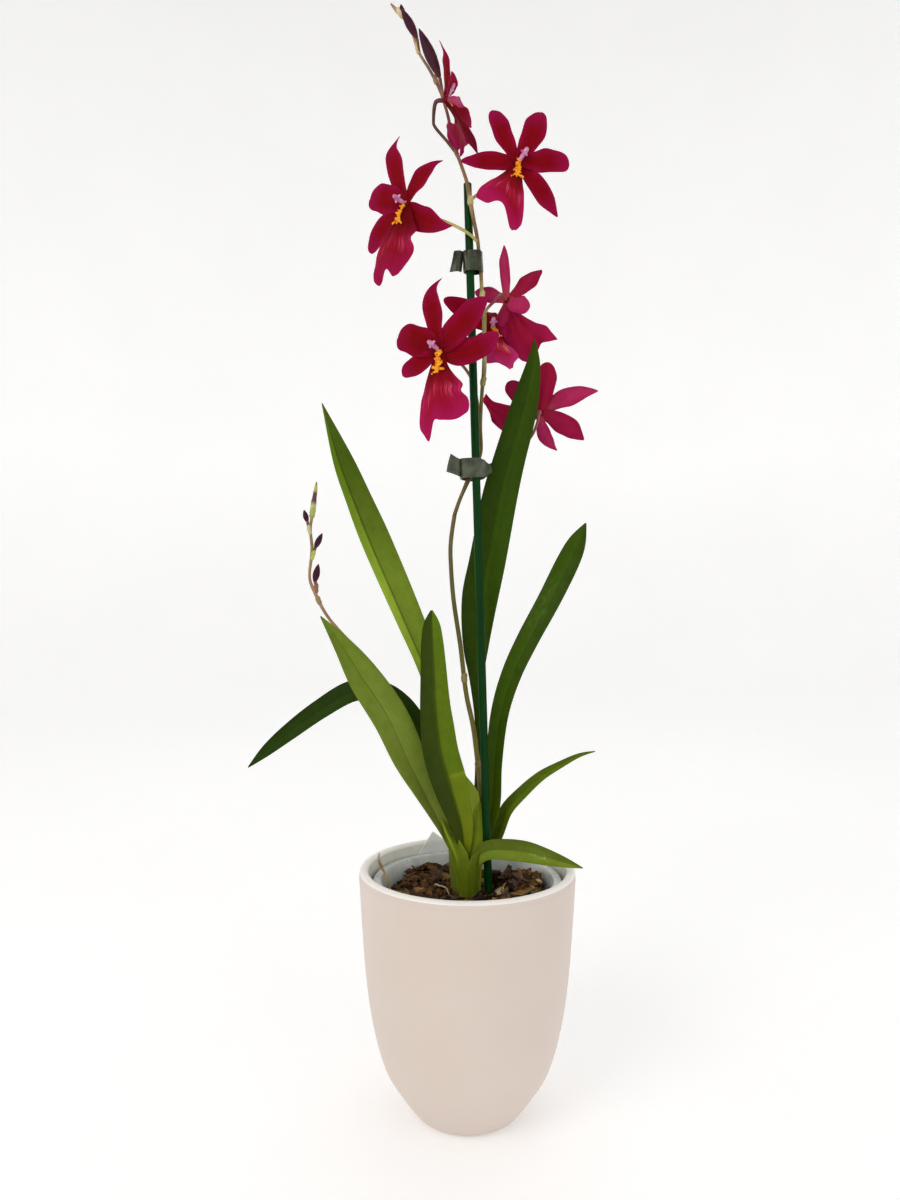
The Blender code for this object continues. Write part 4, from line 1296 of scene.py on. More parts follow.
@dataclass
class Leaf:
    """A strap leaf: its spine with half widths, the way it faces and how far it is folded.

    The two halves' levels are painted light and shade, one half lit and the other shaded across
    the fold, and base is painted light that brightens the foot where other leaves shade it. The
    overall tint tints all of it, and where its blue share is large it is a painted whitish sheen;
    end tints its far end, and panel the right half below the joint. scuff is the place and
    strength of a mottle in the scar's tone.
    """

    node: str
    spine: Sequence[Station]
    face: Point
    root_fold: float
    tip_fold: float
    # painted light and shade: the levels of the left and the right half
    lit_and_shaded_halves: tuple[float, float] = (1.0, 1.0)
    sides: tuple[float, float] = (1.0, 1.0)
    # an overall tint; a large blue share paints a whitish sheen
    tint_and_sheen: Rgb = WHITE
    # painted light: how much the foot is brightened where the other leaves shade it
    base: float = 1.0
    joint: float = -1.0
    middle: float = 0.0
    end: Rgb = WHITE
    rib: float = 1.0
    panel: Rgb = (1.42, 1.2, 1.45)
    scuff: Point | None = None
    scar: Rgb = (1, 0.8, 9)
    ripple: float = 0.45
    rows: int = 84
    columns: int = 14
    thickness: float = 0.95
    thin: tuple[float, float] = (0.62, 1.5)
    least: float = 0.12
    ridge: tuple[float, float] = (0.012, 0.11)
    fold_pace: float = 1.6
    groove: float = 0.27
    groove_width: float = 0.08
    mottle: float = 0.12
    base_reach: float = 0.22
    joint_light: float = 1.35
    joint_half: float = 0.006
    rib_half: float = 0.05
    end_from: float = 0.58
    end_span: float = 0.28
    scuff_size: tuple[float, float] = (0.12, 0.7)

    def __post_init__(self) -> None:
        """Reads the smooth spine, and gives the leaf's waves and mottle a start of their own."""
        self.read = smooth_points(self.spine, self.rows + 1)
        self.phase = len(self.node) + self.spine[-1][0]

    def section(self, reach: float) -> tuple[Vector, Vector, Vector, float]:
        """The midrib's place, the sideways and outward directions there, and the half width.

        Args:
            reach: the share of the way to the tip.

        Returns:
            The place and the half width in millimetres, and both directions of length 1.
        """
        i = round(reach * self.rows)
        back, on = (Vector(self.read[k][:3]) for k in (max(i - 1, 0), min(i + 1, self.rows)))
        side, out = across((on - back).normalized(), Vector(self.face))
        return Vector(self.read[i][:3]), side, out, self.read[i][3]

    def half(self, width: float, v: float) -> float:
        """The half width on the side of the midrib that v is on."""
        return max(width, self.least) * self.sides[int(v > 0)]

    def fold(self, share: float, v: float) -> float:
        """How far the folded blade rises at v, a share of the way from root_fold to tip_fold."""
        angle = math.radians(self.root_fold + (self.tip_fold - self.root_fold) * share)
        return math.tan(angle) * (math.sqrt(v * v + self.ridge[0]) - self.ridge[1])

    def place(self, reach: float, v: float) -> Vector:
        """A point of the blade, grooved along its midrib and waved at its margins.

        Args:
            reach: the share of the way to the tip.
            v: the place across, from -1 to 1.

        Returns:
            The point, in millimetres.
        """
        centre, side, out, width = self.section(reach)
        half = self.half(width, v)
        wave = math.sin(reach * 17 + self.phase + v * 1.3) * min(half / 8, 1)
        groove = math.exp(-((v / self.groove_width) ** 2))
        rise = half * self.fold(min(reach * self.fold_pace, 1), v)
        rise += self.ripple * v**4 * wave - self.groove * groove
        over = self.middle + v * (1 - self.middle * (1 if v > 0 else -1))
        return centre + side * half * over + out * rise

    def weight(self, reach: float, v: float) -> float:
        """How thick the blade is, which thins out towards its margins."""
        return 1.0 - self.thin[0] * abs(v) ** self.thin[1]

    def scuffed(self, reach: float, v: float) -> float:
        """How much of the scar's tone shows through.

        Args:
            reach: the share of the way to the tip.
            v: the place across, from -1 to 1.

        Returns:
            The scar tone's share.
        """
        if not self.scuff:
            return 0.0
        along = (reach - self.scuff[0]) / self.scuff_size[0]
        over = (v - self.scuff[1]) / self.scuff_size[1]
        speck = max(0.0, noise.noise(Vector((reach * 60, v * 5, 2.0))) + 0.1)
        return max(0.0, 1 - along**2 - over**2) * self.scuff[2] * speck

    def tone(self, reach: float, v: float) -> Rgb:
        """The painted light and shade of the two halves and the foot, and the painted sheen, with
        the joint, the rib, the far end and the scuff on them.

        Args:
            reach: the share of the way to the tip.
            v: the place across, from -1 to 1.

        Returns:
            What the finish is multiplied by.
        """
        # painted light and shade: one half lit, the other shaded across the fold
        share = clamped(0.5 + v * 4)
        level = self.lit_and_shaded_halves[0] + (self.lit_and_shaded_halves[1] - self.lit_and_shaded_halves[0]) * share
        level *= 1 + self.mottle * noise.noise(Vector((reach * 5, v * 1.5, self.phase)))
        # painted light that brightens the foot, where the other leaves shade it
        level *= 1 + (self.base - 1) * max(0.0, 1 - reach / self.base_reach)
        if v > 0.15 and abs(reach - self.joint) < self.joint_half:
            level *= self.joint_light
        if abs(v) < self.rib_half:
            level *= self.rib
        far = clamped((reach - self.end_from) / self.end_span)
        panel = share if reach < self.joint else 0.0
        pale = self.scuffed(reach, v)
        # the overall tint, whose large blue share paints a whitish sheen on some leaves
        return tuple(
            level * h * (1 + (e - 1) * far) * (1 + (p - 1) * panel) + pale * s
            for h, e, p, s in zip(self.tint_and_sheen, self.end, self.panel, self.scar)
        )

    def blade(self, name: str, finishes: Materials, *looks: str) -> Piece:
        """The thick blade, with a finish for each of its faces.

        Args:
            name: the piece's name.
            finishes: the materials by name.
            *looks: the names of the finishes of its front and back.

        Returns:
            The object.
        """
        form = new_form()
        add_blade(form, self.rows, self.columns, self.place, self.weight, self.tone)
        return sheet(form, name, [finishes[look] for look in looks], self.thickness)

    def build(self, finishes: Materials) -> Piece:
        """The leaf."""
        made = self.blade(self.node + "_blade", finishes, "leaf_upper", "leaf_under")
        return fit(made, "leaf", self.node)


@dataclass
class Sheath(Leaf):
    """A leaf's folded foot, or the flank of the bulb under it; a slit one has tones[1] below 0."""

    edge: float = 1.35
    rows: int = 30
    columns: int = 12
    thin: tuple[float, float] = (0.5, 1.0)
    ridge: tuple[float, float] = (0.02, 0.14)
    furrow: float = 0.12
    crease: float = 0.18

    def place(self, reach: float, v: float) -> Vector:
        """A point of the folded blade, furrowed along and creased once across.

        Args:
            reach: the share of the way to the tip.
            v: the place across, from -1 to 1.

        Returns:
            The point, in millimetres.
        """
        centre, side, out, width = self.section(reach)
        fold = self.fold(reach, v) * width
        furrow = self.furrow * math.sin(v * 19 + self.spine[0][0]) * (1 - v * v)
        nearness = math.exp(-(((reach - 0.45 - v * 0.1) / 0.03) ** 2))
        crease = self.crease * nearness * abs(math.sin(v * 3))
        return centre + side * self.half(width, v) * v + out * (fold + furrow - crease)

    def tone(self, reach: float, v: float) -> Rgb:
        """The tone, pale along the edge, or along the fold of a slit sheath, with a painted shadow
        beside the slit.

        Args:
            reach: the share of the way to the tip.
            v: the place across, from -1 to 1.

        Returns:
            What the finish is multiplied by.
        """
        slit = self.lit_and_shaded_halves[1] < 0
        rim = max(0.0, 1 - (abs(v) / 0.2 if slit else (1 - v) / 0.22))
        if slit:
            rim *= clamped((0.62 - reach) / 0.25)
        # painted light and shade: how lit the sheath is
        level = self.lit_and_shaded_halves[0] * (1 + (self.edge - 1) * rim)
        # painted shadow in the slit beside the fold
        if slit:
            slit_shadow = max(0.0, 1 - abs(v + 0.55) / 0.4) * max(0.0, 1 - abs(reach - 0.2) / 0.2)
            level *= 1 - 0.8 * slit_shadow
        return (level, level, level * 0.9)

    def build(self, finishes: Materials) -> Piece:
        """The sheath."""
        made = self.blade(self.node, finishes, "leaf_sheath", "leaf_sheath_back")
        return fit(made, "bulb", "pseudobulb")


# Each sheath's first half level is painted light and shade; a second one below 0 marks a slit.
SHEATHS = (
    Sheath(
        "sheath_left",
        (
            (-15.6, -2.2, 176.5, 0.9), (-13.2, -3.4, 170, 3), (-10.2, -4.2, 163, 5.2),
            (-6.6, -4.6, 154, 6.6), (-4.8, -4.4, 145, 6.6), (-4, -3.6, 137, 6),
            (-3.6, -3, 129, 5.6),
        ),
        (-0.3, -1, 0.15), -20, -30, (1, -1), (1, 0.55), edge=2.4,
    ),
    Sheath(
        "sheath_middle",
        (
            (-1.6, -1.6, 158, 1.4), (-1, -3.2, 152, 3.4), (-0.6, -4.6, 144, 4.6),
            (-0.2, -4.8, 137, 4.6), (0, -4.6, 129, 4.4),
        ),
        (0.1, -1, 0.1), -34, -40, (0.9, 1), edge=1.3,
    ),
    Sheath(
        "sheath_right",
        (
            (7.4, -3.8, 157.5, 1.4), (5.6, -4.4, 153, 3.2), (4.2, -4.4, 146, 4.2),
            (3.8, -3.8, 138, 4.4), (3.6, -3.4, 129, 4.2),
        ),
        (0.3, -1, 0.1), -22, -34, (0.85, 1), edge=1.2,
    ),
    Sheath(
        "bulb_flank",
        (
            (8.2, 6.4, 186, 0.4), (7.4, 5, 180, 2), (6.4, 3.6, 172, 4), (5.2, 1.8, 162, 5.4),
            (4.6, 0.6, 152, 5), (4.2, 0.4, 142, 4.4), (4, 0.4, 131, 4.2),
        ),
        (-0.1, -1, 0.1), -16, -28, (1.5, 1), edge=1.5,
    ),
)


# Each leaf's two half levels are painted light and shade.
LEAVES = (
    Leaf(
        "leaf_1",
        (
            (-1, 10.5, 143, 2.5), (0.2, 10.5, 160, 4.2), (-0.6, 10.5, 174, 8),
            (-3, 10.5, 187, 10.2), (-6, 11.5, 196, 7.4), (-8.6, 12.5, 206, 4.9),
            (-16, 16, 240, 6.2), (-24.5, 20, 269, 7.6), (-37.4, 26, 300, 9), (-58.4, 34, 348, 10),
            (-70.8, 40, 377, 8.8), (-82, 46, 404, 6.8), (-97, 54, 443.8, 0.3),
        ),
        (0.2, -1, 0.2), 30, 12, (2.8, 1.6), tint_and_sheen=(1.12, 1, 2.6), base=2.8, middle=-0.42,
        end=(0.36, 0.44, 0.2), rib=0.5,
    ),
    Leaf(
        "leaf_2",
        (
            (1.5, 12.5, 143, 2.5), (5.5, 15.5, 156, 4.2), (8, 18.5, 172, 5.2), (9.6, 19, 195, 4.4),
            (9.2, 18, 232, 3.8), (6.6, 17, 260, 4.6), (6, 16, 282, 8.3), (8.4, 15, 311, 11.5),
            (13.4, 14.5, 336, 11.6), (20.6, 14.5, 374, 11.2), (26.6, 14.2, 398, 10.2),
            (32.6, 13.6, 419, 9.4), (37.1, 12.6, 436, 8.2), (41.6, 11.4, 458, 4.6),
            (42.4, 10.8, 474, 0.3),
        ),
        (-0.15, -1, 0), 28, 8, (0.36, 0.46), tint_and_sheen=(0.74, 1, 0.15), base=1.9, middle=0.15, rib=1.7,
    ),
    Leaf(
        "leaf_3",
        (
            (2.5, 9.5, 143, 2.5), (8.5, 10, 158, 4), (15, 11, 181, 6.6), (17.4, 11.4, 209, 5.6),
            (21, 12, 239, 5.9), (28, 12.8, 263, 6.5), (38.2, 14, 285, 7.2), (52.6, 16.5, 311, 7.6),
            (65.2, 19, 336, 7.4), (71.2, 21, 349, 5.4), (76.3, 22, 360, 0.4),
        ),
        (-0.35, -1, 0.1), 32, 10, (0.53, 0.46), tint_and_sheen=(0.8, 1, 0.15), base=2, rib=1.6,
        scuff=(0.74, -0.3, 0.8),
    ),
    Leaf(
        "leaf_4",
        (
            (-4, 7, 143, 2), (-8, 3.5, 155, 3.2), (-13, 2, 166, 3.5), (-18.6, 1, 177, 4.8),
            (-27.8, -1, 195.3, 7.4), (-37.8, -3, 215.6, 10.3), (-48.5, -5, 239.6, 11.3),
            (-63.7, -8, 263.6, 9.8), (-75.5, -11.5, 283.1, 5.8), (-87.9, -14, 301.1, 0.3),
        ),
        (0.45, -0.9, 0.3), 35, 10, (1.62, 1.7), (1, 1.14), tint_and_sheen=(1.2, 1, 4.2), end=(0.8, 0.85, 0.6),
    ),
    Leaf(
        "leaf_5",
        (
            (-1, 6.5, 142, 2.2), (-1.6, 1.6, 155, 3.4), (-3.4, -1, 173, 7), (-10, -3, 197, 11),
            (-16.2, -5, 219.6, 11.3), (-19, -6, 244, 10), (-20.2, -6, 268, 8.5),
            (-21.1, -5.5, 286, 7), (-21.5, -5.2, 297, 5), (-21.6, -5, 304.6, 0.6),
        ),
        (0.35, -1, 0), 38, 14, (0.37, 1.06), (1.1, 0.9), joint=0.385,
    ),
    Leaf(
        "leaf_6",
        (
            (-4.3, 9.5, 143, 2), (-7.5, 11.5, 164, 3.2), (-13, 13, 188, 4), (-20.5, 14.5, 212, 4.8),
            (-30, 16, 231, 5.7), (-41, 18.5, 244.5, 6.3), (-55, 21, 252, 7.2),
            (-73, 22.5, 252, 7.7), (-93.7, 23, 240.4, 6.9), (-113, 23.5, 226.3, 5.7),
            (-128.4, 24, 213.8, 3.8), (-140, 24, 203.3, 0.3),
        ),
        (0.1, -0.85, 0.5), 30, 10, (0.32, 0.26), tint_and_sheen=(0.7, 1, 0.2), base=2.6,
    ),
    Leaf(
        "leaf_7",
        (
            (5, 12.5, 143, 2.4), (15, 15, 153, 4.6), (20, 15.5, 163.4, 4.6), (25.4, 14.5, 178, 4.6),
            (34.6, 13, 189, 4.3), (46.3, 11, 200.2, 3.4), (58.9, 9, 208.2, 2.4), (70, 8, 214, 1.4),
            (80, 8, 216.6, 0.25),
        ),
        (-0.4, -0.8, 0.5), 30, 12, (0.8, 1.1), tint_and_sheen=(1.05, 1, 1), ripple=0.2,
    ),
    Leaf(
        "leaf_8",
        (
            (1, 5.5, 139, 2.2), (4.5, -0.5, 150, 3.8), (8.6, -4, 156, 5), (13.6, -6.2, 159, 5.8),
            (22.1, -8.6, 160, 6.3), (34.4, -12, 159.7, 6.3), (46.1, -15, 157.6, 5.1),
            (57.8, -17, 154.8, 3), (68.1, -19, 152.2, 0.3),
        ),
        (0, -1, 0.45), 26, 12, (0.98, 1.6), tint_and_sheen=(1.16, 1, 2.6), ripple=0.2,
        scuff=(0.68, 0.15, 2.2),
    ),
)


class Shape(Enum):
    """How a tepal runs out, as shares of its length and of its greatest width."""

    POINTED = (
        (0, 0.42), (0.2, 0.66), (0.4, 0.94), (0.55, 1.0), (0.72, 0.82), (0.85, 0.46), (0.94, 0.2),
        (1.0, 0.03),
    )
    BLUNT = (
        (0, 0.42), (0.2, 0.66), (0.42, 0.92), (0.62, 1.0), (0.8, 0.96), (0.92, 0.75), (0.98, 0.42),
        (1.0, 0.1),
    )

    def width(self, reach: float) -> float:
        """The share of the greatest width there."""
        return read_stops(self.value, reach)


@dataclass
class Tepal:
    """A sepal or petal: its tip from the heart, its width, bow forward and sway sideways.

    blunt is 0 for a pointed end and 1 for a round one. hook bends the end sideways, root widens
    the foot, and shade is what the finish is multiplied by.
    """

    tip: Point
    width: float
    bow: float
    sway: float
    blunt: float
    hook: float = 0.0
    root: float = 0.0
    shade: Rgb = WHITE
    cup: float = 0.16
    wave: float = 0.5
    ripple: float = 0.2
    groove: float = 0.35
    groove_width: float = 0.14
    curl: float = 0.6
    hook_from: float = 0.78
    curl_from: float = 0.6


@dataclass
class Lip:
    """The lip: its tip from the heart, its bow and sway, and its own uneven outline.

    left and right give the width beside the midline at shares of the way to the tip, as one sees
    them who faces the bloom. hem gives the share of the way where the lip ends, from its left
    margin at -1 to its right one at 1.
    """

    tip: Point
    bow: float
    sway: float
    left: Stops = ((0, 2), (0.2, 5), (0.4, 9), (0.7, 10.5), (0.9, 8), (1, 6))
    right: Stops = ((0, 2), (0.2, 5), (0.4, 9), (0.7, 10.5), (0.9, 8), (1, 6))
    hem: Stops = ((-1, 0.9), (-0.5, 1.0), (0, 0.9), (0.5, 1.0), (1, 0.9))
    shade: Rgb = WHITE
    frill: float = 0.9
    cup: float = 0.16
    ridge: float = 0.22
    ridges: float = 26.0
    crinkle: float = 0.28
    crease: float = 0.8


@dataclass
class Bloom:
    """One flower: five tepals, a lip with its warty crest, and the column."""

    number: int
    heart: Point
    facing: Point
    stalk: Sequence[Point]
    tepals: Sequence[Tepal]
    lip: Lip
    stalk_shades: Tints = ((0, (150, 130, 70)), (0.6, (120, 84, 60)), (1, (120, 40, 60)))
    stalk_radius: float = 0.95
    stalk_ends: Stops = ((7.5, 1.25), (1.5, 1.3))
    crest_reach: float = 0.25
    crest_width: float = 5.0
    heart_radius: float = 2.6
    thickness: float = 0.7
    tepal_steps: tuple[int, int] = (34, 12)
    lip_steps: tuple[int, int] = (46, 30)
    heart_grain: float = 0.35
    fine_grain: float = 0.22
    crest_lumps: int = 8
    crest_lift: float = 1.7
    fingers: Sequence[float] = (-1.0, -0.45, 0.1, 0.5, 1.05)
    column_way: Point = (0.3, -1.0, 0.5)
    column: Stops = ((3.1, 1.3), (5, 1.45), (7.3, 1.6), (8.6, 1.5))
    column_step: float = 0.9
    wing: tuple[float, float] = (6.6, 1.75)
    cap: float = 9.2

    def __post_init__(self) -> None:
        """Works out the heart and the way the bloom looks as vectors."""
        self.middle = Vector(self.heart)
        self.face = Vector(self.facing).normalized()

    def midrib(self, part: Tepal | Lip, t: float) -> tuple[Vector, Vector]:
        """A point and the direction on a blade's midrib, a share t of the way to its tip.

        Args:
            part: the tepal or lip.
            t: the share of the way to its tip.

        Returns:
            The point, in millimetres, and the direction.
        """
        tip = Vector(part.tip)
        side, out = across(tip.normalized(), self.face)
        control = tip * 0.5 + out * part.bow + side * part.sway
        point = self.middle + control * 2 * t * (1 - t) + tip * t**2
        tangent = control * 2 * (1 - 2 * t) + tip * 2 * t
        return point, tangent.normalized()

    def add_tepal(self, form: Form, part: Tepal, index: int) -> None:
        """Adds one sepal or petal, channelled along its midrib, with a lightly waved margin.

        Args:
            form: the mesh that takes it.
            part: its sizes.
            index: its place in the bloom's list.
        """
        phase = self.number * 1.7 + index * 2.3

        def place(reach: float, v: float) -> Vector:
            """A point of the tepal.

            Args:
                reach: the share of the way to the tip.
                v: the place across, from -1 to 1.

            Returns:
                The point, in millimetres.
            """
            t = reach * (1.3 - 0.3 * reach)
            centre, tangent = self.midrib(part, t)
            side, out = across(tangent, self.face)
            pointed, blunt = Shape.POINTED.width(t), Shape.BLUNT.width(t)
            share = pointed + (blunt - pointed) * part.blunt + part.root * t * (1 - t) ** 3 * 6
            uneven = 1 + 0.05 * math.sin(t * 13 + phase + v) * abs(v)
            half = 0.5 * part.width * share * uneven
            hook = part.hook * past(t, part.hook_from) ** 2
            wave = part.wave * v**3 * math.sin(t * 8 + phase)
            wave += part.ripple * v * v * math.sin(t * 21 + phase * 2)
            groove = -part.groove * math.exp(-((v / part.groove_width) ** 2)) * (1 - 0.8 * t)
            curl = -part.curl * past(t, part.curl_from) ** 2 * part.bow
            rise = half * part.cup * v * v + wave + groove + curl
            return centre + side * (half * v + hook) + out * rise

        add_blade(form, *self.tepal_steps, place, taper(0.6, 0.25), even(part.shade))

    def add_lip(self, form: Form) -> None:
        """Adds the lip: a ridged claw, side lobes and a frilled apron with an uneven hem.

        Args:
            form: the mesh that takes it.
        """
        part = self.lip
        phase = self.number * 2.1
        length = Vector(part.tip).length

        def place(reach: float, v: float) -> Vector:
            """A point of the lip.

            Args:
                reach: the share of the way to the tip.
                v: the place across, from -1 to 1.

            Returns:
                The point, in millimetres.
            """
            t = reach * read_stops(part.hem, -v)
            centre, tangent = self.midrib(part, t)
            side, out = across(tangent, self.face)
            width = read_stops(part.left if v > 0 else part.right, min(t, 1.08))
            off = width * v
            spread = math.atan2(off, length * t + 4.0)
            edge = v * v * reach
            frill = part.frill * edge * math.sin(10 * reach + 4 * v + phase)
            crinkle = part.crinkle * abs(v) ** 3 * reach * math.sin(30 * reach + 6 * v + phase)
            hem = 0.5 * part.frill * reach**6 * math.sin(9 * v + phase)
            ridges = part.ridge * math.cos(spread * part.ridges)
            ridges *= math.exp(-(((t - 0.42) / 0.2) ** 2))
            fold = part.crease * math.exp(-(((v - 0.1) / 0.3) ** 2))
            fold *= math.sin(math.pi * min(t, 1.0))
            drop = -part.cup * abs(off) * abs(v) + frill + crinkle + hem + ridges + fold
            return centre + side * off + out * drop

        add_blade(form, *self.lip_steps, place, taper(0.5, 0.3), even(part.shade))

    def crest_body(self, rng: random.Random) -> Form:
        """The crest in lumps: a knobbly ridge that widens into warts and fingers below.

        Args:
            rng: the source of the random draws.

        Returns:
            The mesh in the making.
        """
        form = new_form()
        for i in range(self.crest_lumps):
            share = i / (self.crest_lumps - 1)
            point, tangent = self.midrib(self.lip, self.crest_reach * share)
            side, out = across(tangent, self.face)
            half = self.crest_width * (0.16 + 0.14 * share + 0.07 * math.sin(i * 2.3 + self.number))
            top = point + out * (self.crest_lift + 0.5 * math.sin(math.pi * share))
            top += side * self.crest_width * 0.09 * math.sin(i * 1.7 + self.number * 2.0)
            add_ball(form, top, half * 0.9, half * 0.75, half * 0.9)
            for sign in (-1, 1, -1, 1):
                size = half * rng.uniform(0.3, 0.55)
                spot = top + side * sign * half * rng.uniform(0.6, 1.35)
                spot += out * rng.uniform(-0.2, 0.9)
                add_ball(form, spot + tangent * rng.uniform(-0.9, 0.9), size)
        point, tangent = self.midrib(self.lip, self.crest_reach)
        side, out = across(tangent, self.face)
        for lean in self.fingers:
            along = tangent * rng.uniform(0.2, 2.4) + side * lean * self.crest_width * 0.42
            size = self.crest_width * rng.uniform(0.09, 0.14)
            for step in (1.0, 1.45):
                spot = point + out * self.crest_lift * 0.8 + along * step
                add_ball(form, spot, size, size, size * 1.3)
        return form

    def column_body(self) -> Form:
        """The column in lumps: a stout stem, two wings and the round cap at its end.

        Returns:
            The mesh in the making.
        """
        form = new_form()
        dorsal = Vector(self.column_way).normalized()
        side, up = across(dorsal, self.face + Vector((0, 0, 0.01)))
        for reach, radius in self.column:
            add_ball(form, self.middle + dorsal * reach, radius)
            add_ball(form, self.middle + dorsal * (reach - self.column_step), radius)
        for sign in (-1, 1):
            wing = self.middle + dorsal * self.wing[0] + side * sign * self.wing[1]
            add_ball(form, wing, 0.8, 0.8, 0.9)
            add_ball(form, wing + side * sign * 0.5 + up * 0.5, 0.5, 0.5, 0.6)
        add_ball(form, self.middle + dorsal * self.cap + up * 0.2, 1.25, 1.25, 1.1)
        return form

    def stalk_route(self) -> list[Station]:
        """The flower's stalk, straight into the back of its heart."""
        ends = [(*(self.middle - self.face * reach), wide) for reach, wide in self.stalk_ends]
        return [(*point, self.stalk_radius) for point in self.stalk] + ends

    def build(self, finishes: Materials) -> list[Piece]:
        """The bloom's tepals, lip, crest and column.

        Args:
            finishes: the materials by name.

        Returns:
            The pieces.
        """
        node, crest, column = (f"{name}_{self.number}" for name in ("bloom", "crest", "column"))
        rng = random.Random(SEED + self.number)
        form = new_form()
        for i, part in enumerate(self.tepals):
            self.add_tepal(form, part, i)
        petal, lip = (
            [finishes[name + "_face"], finishes[name + "_back"]] for name in ("petal", "lip")
        )
        tepals = sheet(form, node + "_tepals", petal, self.thickness)
        form = new_form()
        self.add_lip(form)
        apron = sheet(form, node + "_lip", lip, self.thickness)
        heart = new_form()
        add_ball(heart, self.middle, self.heart_radius * 0.85)
        add_ball(heart, self.middle - self.face * 1.2, 1.7)
        warts = finished(self.crest_body(rng), crest + "_warts", [finishes["crest_warts"]])
        cap = finished(self.column_body(), column + "_cap", [finishes["column_skin"]])
        middle = finished(heart, node + "_heart", [finishes["heart_skin"]])
        return [
            fit(tepals, "petal", node), fit(apron, "petal", node),
            fit(fused(middle, self.heart_grain, 3), "petal", node),
            fit(fused(warts, self.fine_grain, 2), "crest", crest),
            fit(fused(cap, self.fine_grain, 3), "column", column),
        ]


